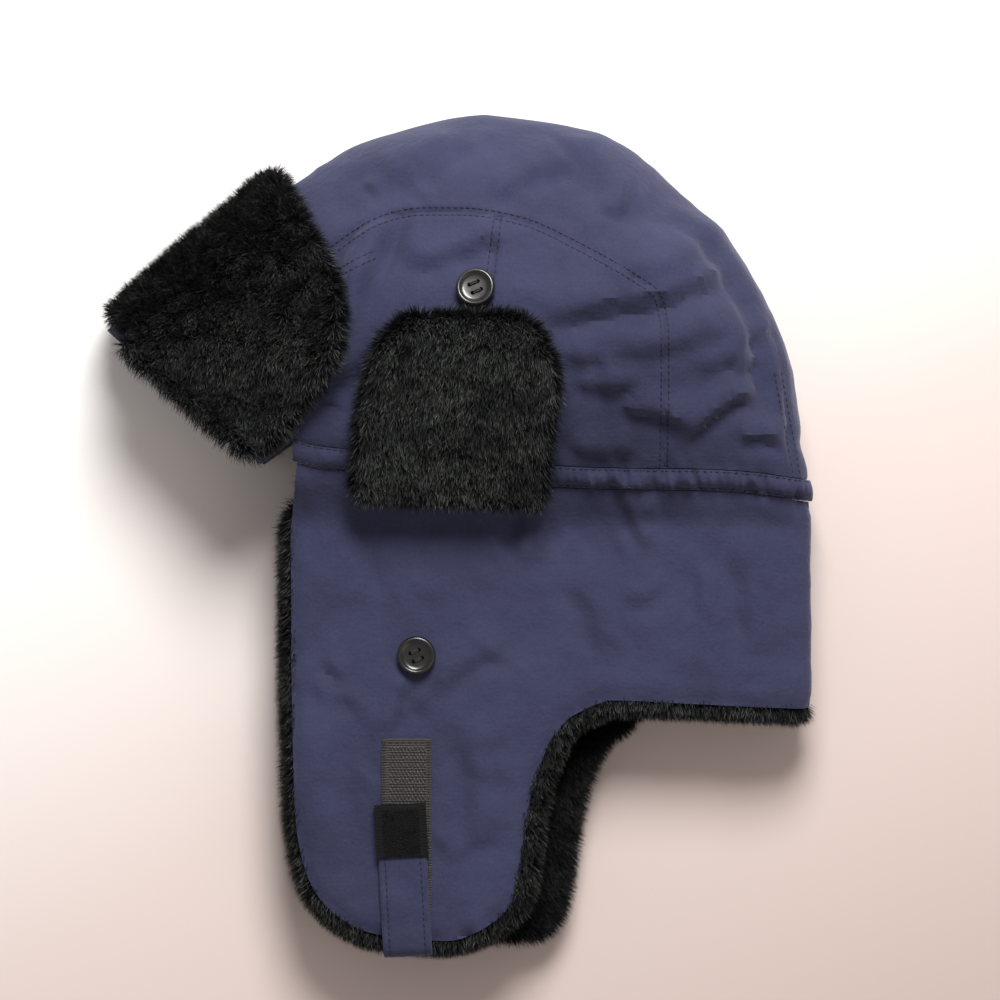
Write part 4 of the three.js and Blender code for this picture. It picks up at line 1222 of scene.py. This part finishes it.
def tube(points, radius, sides=6):
    """Points and faces of a closed round tube along a path."""
    path = [Vector(p) for p in points]
    rings, faces = [], []
    up = Vector((0.13, 0.21, 1)).normalized()
    for i, p in enumerate(path):
        along = (path[min(i + 1, len(path) - 1)] - path[max(i - 1, 0)]).normalized()
        across = along.cross(up).normalized()
        if across.length < 0.5:
            across = along.cross(Vector((1, 0, 0))).normalized()
        over = across.cross(along)
        rings += [p + radius * (math.cos(t) * across + math.sin(t) * over)
                  for t in (2 * math.pi * k / sides for k in range(sides))]
    for i in range(len(path) - 1):
        for k in range(sides):
            a, b = i * sides + k, i * sides + (k + 1) % sides
            faces.append((a, a + sides, b + sides, b))
    faces.append(list(range(sides)))
    faces.append([len(rings) - 1 - k for k in range(sides)])
    return rings, faces


def joined(name, parts):
    points, faces = [], []
    for more, sides in parts:
        faces += [[len(points) + i for i in face] for face in sides]
        points += [tuple(p) for p in more]
    piece = new_object(name, points, faces)
    bm = bmesh.new()
    bm.from_mesh(piece.data)
    bmesh.ops.recalc_face_normals(bm, faces=bm.faces)
    bm.to_mesh(piece.data)
    bm.free()
    return piece


def resin_look():
    look = Look("button_resin", Coat_Roughness=0.12, Specular_IOR_Level=0.6)
    cloud = look.noise(260, 3.0)
    scuffs = look.noise(2400, 2.0)
    look.use("Base Color", look.ramp(cloud, (0.35, (0.0025, 0.0025, 0.003)), (0.75, (0.009, 0.008, 0.0075))))
    look.use("Roughness", 0.24 + 0.14 * scuffs)
    look.use("Coat Weight", 0.4 - 0.2 * scuffs)
    look.bump(scuffs, 0.00003, 0.4)
    return look.material


def black_thread_look(name, shine):
    look = Look(name, Roughness=shine)
    ply = look.add("ShaderNodeTexWave", {"bands_direction": "DIAGONAL"},
                   {"Vector": look.place(), "Scale": 900.0, "Distortion": 0.5}, "Fac")
    look.use("Base Color", look.ramp(ply, (0.2, (0.004, 0.004, 0.005)), (0.8, (0.020, 0.020, 0.023))))
    look.bump(ply, 0.0001)
    return look.material


resin = resin_look()
black_thread = black_thread_look("button_thread", 0.55)
elastic_cord = black_thread_look("elastic_cord", 0.75)
hole_places = [(HOLE_REACH * math.cos(a), HOLE_REACH * math.sin(a))
               for a in (HOLE_TURN + math.pi / 4 + i * math.pi / 2 for i in range(4))]


def sewn_thread(shank):
    """Two bridges of doubled thread through the holes, drawn down to the cloth and wound once round."""
    parts = []
    for a, b in ((0, 1), (3, 2)):
        start, end = Vector((*hole_places[a], 0)), Vector((*hole_places[b], 0))
        side = (end - start).cross(Vector((0, 0, 1))).normalized() * 0.32
        for shift in (-1, 1):
            p, q = start + shift * side, end + shift * side
            path = [p.lerp(q, 0.04) + Vector((0, 0, -shank + 0.1)), p + Vector((0, 0, 1.6)),
                    p.lerp(q, 0.12) + Vector((0, 0, 2.5)), p.lerp(q, 0.5) + Vector((0, 0, 2.75 + 0.1 * shift)),
                    p.lerp(q, 0.88) + Vector((0, 0, 2.5)), q + Vector((0, 0, 1.6)),
                    q.lerp(p, 0.04) + Vector((0, 0, -shank + 0.1))]
            parts.append(tube(path, 0.27))
    for level in (0.35, 0.75):
        turns = np.linspace(0, 6.1, 18)
        ring = [Vector((WINDING * math.cos(t), WINDING * math.sin(t), -shank * level)) for t in turns]
        parts.append(tube(ring, 0.3))
    return parts


def seat(piece, name, look, centre, normal, body, slot, *nodes):
    turn = Vector((0, 0, 1)).rotation_difference(normal).to_matrix().to_4x4()
    piece.data.transform(Matrix.Translation(centre) @ turn)
    finish_piece(piece, name, look, angle=50)
    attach(piece, body)
    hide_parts(*nodes)


def cloth_normal(tree, x, y, near):
    step = 4
    if not near:
        return Vector((0, 0, -1))
    across = landed(tree, x + step, y, near) - landed(tree, x - step, y, near)
    up = landed(tree, x, y + step, near) - landed(tree, x, y - step, near)
    return Vector((-across / 2 / step, -up / 2 / step, 1)).normalized()


skirt_trees = {"left": tree_of(near_skirt_copy), "right": tree_of(far_skirt_copy)}
for kind, place, shank in (("crown", CROWN_BUTTON, CROWN_SHANK), ("flap", FLAP_BUTTON, FLAP_SHANK)):
    for side in ("left", "right"):
        tree = crown_tree if kind == "crown" else skirt_trees[side]
        near = side == "left"
        normal = cloth_normal(tree, *place, near)
        z = landed(tree, *place, near)
        centre = Vector((*place, z)) + normal * shank
        body = "crown" if kind == "crown" else f"{side}_flap"
        button = lathe("button", RIM)
        for x, y in hole_places:
            points, faces = tube([(x, y, -1), (x, y, 4)], 0.85, 14)
            cut(button, ("DIFFERENCE", joined("pattern_cut", [(points, faces)])))
        seat(button, f"{kind}_button_disc_{side}", resin, centre, normal, body, "button",
             f"{kind}_button_{side}")
        seat(joined("thread", sewn_thread(shank)), f"{kind}_button_sewing_{side}", black_thread, centre, normal,
             body, "thread", f"{kind}_button_thread_{side}")

# ---------- Hatch loops and band elastic ----------
# Covered elastic: a cord loop from each hatch's tip round the crown button, and a flat band in the
# casing.
LOOP_PATH = [(-2.5, -9), (-3.9, -4), (-4.2, 0.5), (-3.1, 3.4), (0, 4.6), (3.1, 3.4), (4.2, 0.5), (3.9, -4),
             (2.5, -9)]
for side in ("left", "right"):
    near = side == "left"
    flip = 1 if near else -1
    route = rounded(LOOP_PATH, 5)
    places = [(CROWN_BUTTON[0] + u, CROWN_BUTTON[1] + v) for u, v in route]
    path = [(x, y, landed(crown_tree, x, y, near) + flip * CORD_LIFT) for x, y in places]
    loop = joined("loop", [tube(path, 0.55, 8)])
    finish_piece(loop, f"hatch_loop_cord_{side}", elastic_cord, angle=180)
    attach(loop, f"{side}_hatch")
    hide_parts(f"{side}_hatch_loop")

elastic_band = layer("elastic", -0.75, 0.0, across_near=200, across_far=100, rows=330)
elastic_strip = np.vstack([seam_line + (0, 1.65), (seam_line + (0, 6.65))[::-1]])
cut(elastic_band, ("INTERSECT", prism(elastic_strip)))
finish_piece(elastic_band, "band_elastic_ribbon", elastic_cord)
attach(elastic_band, "crown")
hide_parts("band_elastic")

# ---------- Hook tape ----------
# Woven tape with ribbed selvedges and a field of stiff hooks, sewn flat on each ear flap.
TAPE_WIDTH, TAPE_LENGTH = 19.5, 74.0
TAPE_TOP = (-17.5, -79.5)


def slab(width, length, top, bottom, base, place, lean=0.0, across=44, along=150):
    """A closed strip hanging down from place; top, bottom and base give heights at local x, y."""
    u = np.linspace(-width / 2, width / 2, across)
    v = np.linspace(0, -length, along)
    x, y = np.meshgrid(u, v)
    world_x = place[0] + x * math.cos(lean) - y * math.sin(lean)
    world_y = place[1] + x * math.sin(lean) + y * math.cos(lean)
    ground = base(world_x, world_y, x, y)
    grids = [np.stack([world_x, world_y, ground + level(x, y)], -1).reshape(-1, 3) for level in (top, bottom)]
    index = np.arange(across * along).reshape(along, across)
    quads = np.stack([index[:-1, :-1], index[1:, :-1], index[1:, 1:], index[:-1, 1:]], -1).reshape(-1, 4)
    shift = across * along
    faces = quads.tolist() + (quads[:, ::-1] + shift).tolist()
    rim = np.concatenate([index[0, :-1], index[:-1, -1], index[-1, :0:-1], index[:0:-1, 0]]).tolist()
    faces += [[a, b, b + shift, a + shift] for a, b in zip(rim, rim[1:] + rim[:1])]
    return new_object("slab", np.vstack(grids), faces)


def flap_ground(side):
    """Height of an ear flap's cloth, evened out so that a tape lies flat on it."""
    near = side == "left"
    xs, ys = np.arange(-46, 16, 3.0), np.arange(-166, -68, 3.0)
    heights = np.array([[landed(skirt_trees[side], x, y, near) or np.nan for x in xs] for y in ys])
    for j in range(len(ys) - 1, -1, -1):
        row = heights[j]
        if np.isnan(row).all():
            continue
        row[np.isnan(row)] = np.nanmean(row)
    for j in range(len(ys) - 2, -1, -1):
        if np.isnan(heights[j]).any():
            heights[j] = heights[j + 1]
    for _ in range(3):
        padded = np.pad(heights, 1, mode="edge")
        heights = (padded[:-2, 1:-1] + padded[2:, 1:-1] + padded[1:-1, :-2] + padded[1:-1, 2:]) / 4

    def base(x, y, *_):
        i = np.clip((x - xs[0]) / 3, 0, len(xs) - 1.001)
        j = np.clip((y - ys[0]) / 3, 0, len(ys) - 1.001)
        a, b = i.astype(int), j.astype(int)
        s, t = i - a, j - b
        return ((heights[b, a] * (1 - s) + heights[b, a + 1] * s) * (1 - t)
                + (heights[b + 1, a] * (1 - s) + heights[b + 1, a + 1] * s) * t)
    return base


def tape_look():
    look = Look("woven_tape", Sheen_Weight=0.2)
    place = look.place()
    ribs = look.add("ShaderNodeTexWave", {"bands_direction": "Y"}, {"Vector": place, "Scale": 330.0,
                                                                    "Distortion": 0.6}, "Fac")
    fine = look.noise(1600, 2.0, 0.6, place)
    tone = look.ramp(ribs * 0.6 + fine * 0.5, (0.3, (0.006, 0.0055, 0.006)), (0.8, (0.045, 0.038, 0.037)))
    look.use("Base Color", tone)
    look.use("Roughness", 0.6 + 0.25 * fine)
    look.bump(ribs + 0.5 * fine, 0.0002)
    return look.material


def hook_look():
    look = Look("stiff_hooks", Specular_IOR_Level=0.6)
    tone = look.noise(500, 2.0)
    look.use("Base Color", look.ramp(tone, (0.3, (0.060, 0.048, 0.042)), (0.7, (0.20, 0.165, 0.145))))
    look.use("Roughness", 0.3 + 0.2 * tone)
    return look.material


def tape_top(x, y):
    selvedge = smooth((np.abs(x) - 7.1) / 0.5)
    ribs = 0.16 * np.sin(y * 2 * math.pi / 1.15) * selvedge
    edge = 0.5 * smooth((np.abs(x) - 9.2) / 0.6)
    return 1.05 + 0.15 * selvedge + ribs - edge


woven_tape = tape_look()
hooks_resin = hook_look()
HOOK_PATH = [(0, 0, 0), (0, 0, 0.7), (0.18, 0, 1.0), (0.5, 0, 0.95), (0.62, 0, 0.68)]
hook_shape = joined("hook", [tube(HOOK_PATH, 0.15, 4)])


def field_recipe():
    recipe = Recipe("plant_hooks", Hook=bpy.types.Object, Resin=bpy.types.Material, Seed=int)
    spin = recipe.add("FunctionNodeRandomValue", {"data_type": "FLOAT"},
                      {2: -0.5, 3: 0.5, "Seed": recipe.given("Seed")}, 1)
    spin = recipe.add("ShaderNodeCombineXYZ", {}, {"Z": spin})
    hook = recipe.add("GeometryNodeObjectInfo", {}, {"Object": recipe.given("Hook")}, "Geometry")
    field = recipe.add("GeometryNodeInstanceOnPoints", {}, {"Points": recipe.given("Geometry"), "Instance": hook,
                                                             "Rotation": spin})
    recipe.finish(field, recipe.given("Resin"))
    return recipe


plant_hooks = field_recipe()
for side in ("left", "right"):
    near = side == "left"
    flip = 1 if near else -1
    ground = flap_ground(side)
    tape = slab(TAPE_WIDTH, TAPE_LENGTH, lambda x, y: flip * tape_top(x, y), lambda x, y: flip * 0.2 + 0 * x,
                ground, TAPE_TOP, across=56, along=260)
    if not near:
        tape.data.flip_normals()
    finish_piece(tape, f"hook_tape_woven_{side}", woven_tape)
    rows = [(TAPE_TOP[0] - 6.3 + 1.4 * i + 0.7 * (j % 2), TAPE_TOP[1] - 3.4 - 1.35 * j)
            for j in range(int((TAPE_LENGTH - 6) / 1.35)) for i in range(10)]
    places = [(x, y, float(ground(np.array(x), np.array(y))) + flip * 1.0) for x, y in rows]
    hooks = new_object("hooks", places, [])
    plant_hooks.apply(hooks, Hook=hook_shape, Resin=hooks_resin, Seed=3)
    if not near:
        hooks.data.transform(Matrix.Diagonal((1, 1, -1, 1)))
        hooks.data.transform(Matrix.Translation((0, 0, 2 * np.mean([z for _, _, z in places]))))
        hooks.data.flip_normals()
    finish_piece(hooks, f"hook_field_{side}", hooks_resin, angle=180)
    level = [[(TAPE_TOP[0] + x, TAPE_TOP[1] + y) for x, y in line] for line in (
        [(-8.6, -1.4), (8.6, -1.4)], [(-8.7, -2), (-8.7, 2 - TAPE_LENGTH)],
        [(8.7, -2), (8.7, 2 - TAPE_LENGTH)])]
    rows = []
    for line in level:
        dense = spaced(np.array(line, float), 60)
        rows.append([(x, y, float(ground(np.array(x), np.array(y))) + flip * 1.25) for x, y in dense])
    seam = sewn(f"hook_tape_stitches_{side}", rows, f"{side}_flap", 2.3, black_thread)
    for piece, slot in ((tape, "hook_tape"), (hooks, "hook_tape")):
        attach(piece, f"{side}_flap")
    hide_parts(f"hook_tape_{side}")
    as_sheet(tape)

# ---------- Chin strap and its loop patch ----------
# A doubled strip of the navy cloth, edge-stitched, that starts inside the left flap, comes round its
# lower edge and lies on the hook tape, with a fuzzy loop patch sewn round its end.
STRAP_WIDTH = 19.0
STRAP_LEAN = 0.055
STRAP_END = (-20, -106)
near_ground = flap_ground("left")
FOOT_LENGTH = 54.5


def strap_piece():
    """The strap as one bent strip: along the flap's face, round its lower edge and in under it."""
    profile = [(0.0, 2.6), (6, 2.6), (14, 2.5), (22, 2.3), (30, 2.1), (38, 2.0), (46, 2.2), (51, 2.4)]
    bend = [(55.0, 1.7), (57.2, -0.4), (57.6, -3.2), (56.2, -5.8), (52.5, -7.2), (46, -7.6)]
    along = rounded(profile + bend, 10)
    across = np.linspace(-STRAP_WIDTH / 2, STRAP_WIDTH / 2, 30)
    step = np.gradient(along, axis=0)
    step /= np.linalg.norm(step, axis=1, keepdims=True)
    outward = np.stack([-step[:, 1], step[:, 0]], -1)
    grids = []
    for face in (1, -1):
        edge = 1 - 0.75 * np.clip((np.abs(across) - STRAP_WIDTH / 2 + 1.0) / 1.0, 0, 1) ** 2
        groove = 0.28 * np.exp(-((np.abs(across) - 7.2) / 0.7) ** 2)
        half = (0.85 * edge - groove)[None, :] * np.ones(len(along))[:, None]
        wave = 0.25 * np.sin(along[:, :1] * 0.33) * across[None, :] / 9.5
        down = along[:, :1] + face * half * outward[:, :1]
        up = along[:, 1:] + face * half * outward[:, 1:] + wave
        x, y = across[None, :] + 0 * down, -down
        world_x = STRAP_END[0] + x * math.cos(STRAP_LEAN) - y * math.sin(STRAP_LEAN)
        world_y = STRAP_END[1] + x * math.sin(STRAP_LEAN) + y * math.cos(STRAP_LEAN)
        ground = near_ground(world_x, np.maximum(world_y, -150.0))
        grids.append(np.stack([world_x, world_y, ground + up], -1))
    rows, columns = grids[0].shape[:2]
    index = np.arange(rows * columns).reshape(rows, columns)
    quads = np.stack([index[:-1, :-1], index[1:, :-1], index[1:, 1:], index[:-1, 1:]], -1).reshape(-1, 4)
    shift = rows * columns
    faces = quads.tolist() + (quads[:, ::-1] + shift).tolist()
    rim = np.concatenate([index[0, :-1], index[:-1, -1], index[-1, :0:-1], index[:0:-1, 0]]).tolist()
    faces += [[b, a, a + shift, b + shift] for a, b in zip(rim, rim[1:] + rim[:1])]
    return joined("strap", [(np.vstack([g.reshape(-1, 3) for g in grids]), faces)]), grids[0], across


def bend_at_foot(piece):
    x, y = STRAP_END[0] + SHIFT_X, STRAP_END[1] - FOOT_LENGTH + SHIFT_Y
    x * MM
    y * MM
    x * MM
    y * MM
    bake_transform(piece)


strap, strap_face, strap_across = strap_piece()
finish_piece(strap, "chin_strap_cloth", navy, angle=50)
bend_at_foot(strap)
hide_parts("chin_strap", "chin_strap_root")
as_sheet(strap)
rows = []
for place in (-7.2, 7.2):
    column = int(np.argmin(np.abs(strap_across - place)))
    rows.append([(x, y, z + 0.1) for x, y, z in strap_face[8:112, column]])
stitches = sewn("chin_strap_stitches", rows, None, 2.4)
bend_at_foot(stitches)


def patch_look():
    look = Look("loop_fuzz", Sheen_Weight=0.05, Sheen_Roughness=0.6, Specular_IOR_Level=0.2)
    fuzz = look.noise(1400, 3.0, 0.7)
    look.use("Base Color", look.ramp(fuzz, (0.3, (0.001, 0.001, 0.0012)), (0.75, (0.006, 0.006, 0.0065))))
    look.use("Roughness", 0.8 + 0.15 * fuzz)
    look.bump(fuzz, 0.0005)
    return look.material


def patch_top(x, y):
    selvedge = smooth((np.abs(x) - 7.3) / 0.5) + smooth((np.abs(y + 10.5) - 9.0) / 0.6)
    ribs = 0.14 * np.sin(y * 2 * math.pi / 1.2) * np.clip(selvedge, 0, 1)
    return 4.6 - 0.25 * np.clip(selvedge, 0, 1) + ribs


fuzz = patch_look()
patch = slab(STRAP_WIDTH + 1, 20.5, patch_top, lambda x, y: 1.35 + 0 * x, near_ground,
             (STRAP_END[0], STRAP_END[1] + 1.2), STRAP_LEAN, across=60, along=60)
woven = finish_piece(copy_of(patch, "woven"), "loop_patch_woven", fuzz)
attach(woven, "chin_strap")
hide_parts("strap_loop_patch")
as_sheet(woven)
patch.data.transform(Matrix.Translation((0, 0, -0.1)))
local = Matrix.Rotation(-STRAP_LEAN, 4, "Z") @ Matrix.Translation((-STRAP_END[0], -STRAP_END[1] - 1.2, 0))


def fuzzy(points, normals):
    x, y = np.array([(local @ Vector(p))[:2] for p in points]).T
    return ((np.abs(x) < 7.2) & (np.abs(y + 10.5) < 8.8) & (normals[:, 2] > 0.5)).astype(float)


furred(patch, "loop_patch_fuzz", fuzz, fuzzy, 14.0, 0.95, 0.2, (0.2, -0.6, 0.0), 51, unruly=2.0, width=0.16)
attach(patch, "chin_strap")

for tool in [hair_shape, stitch_shape, hook_shape, crown, shell, backing, casing_copy, near_skirt_copy,
             far_skirt_copy]:
    bpy.data.objects.remove(tool)
for tool in list(bpy.data.objects):
    if tool.name.startswith("pattern_cut"):
        bpy.data.objects.remove(tool)
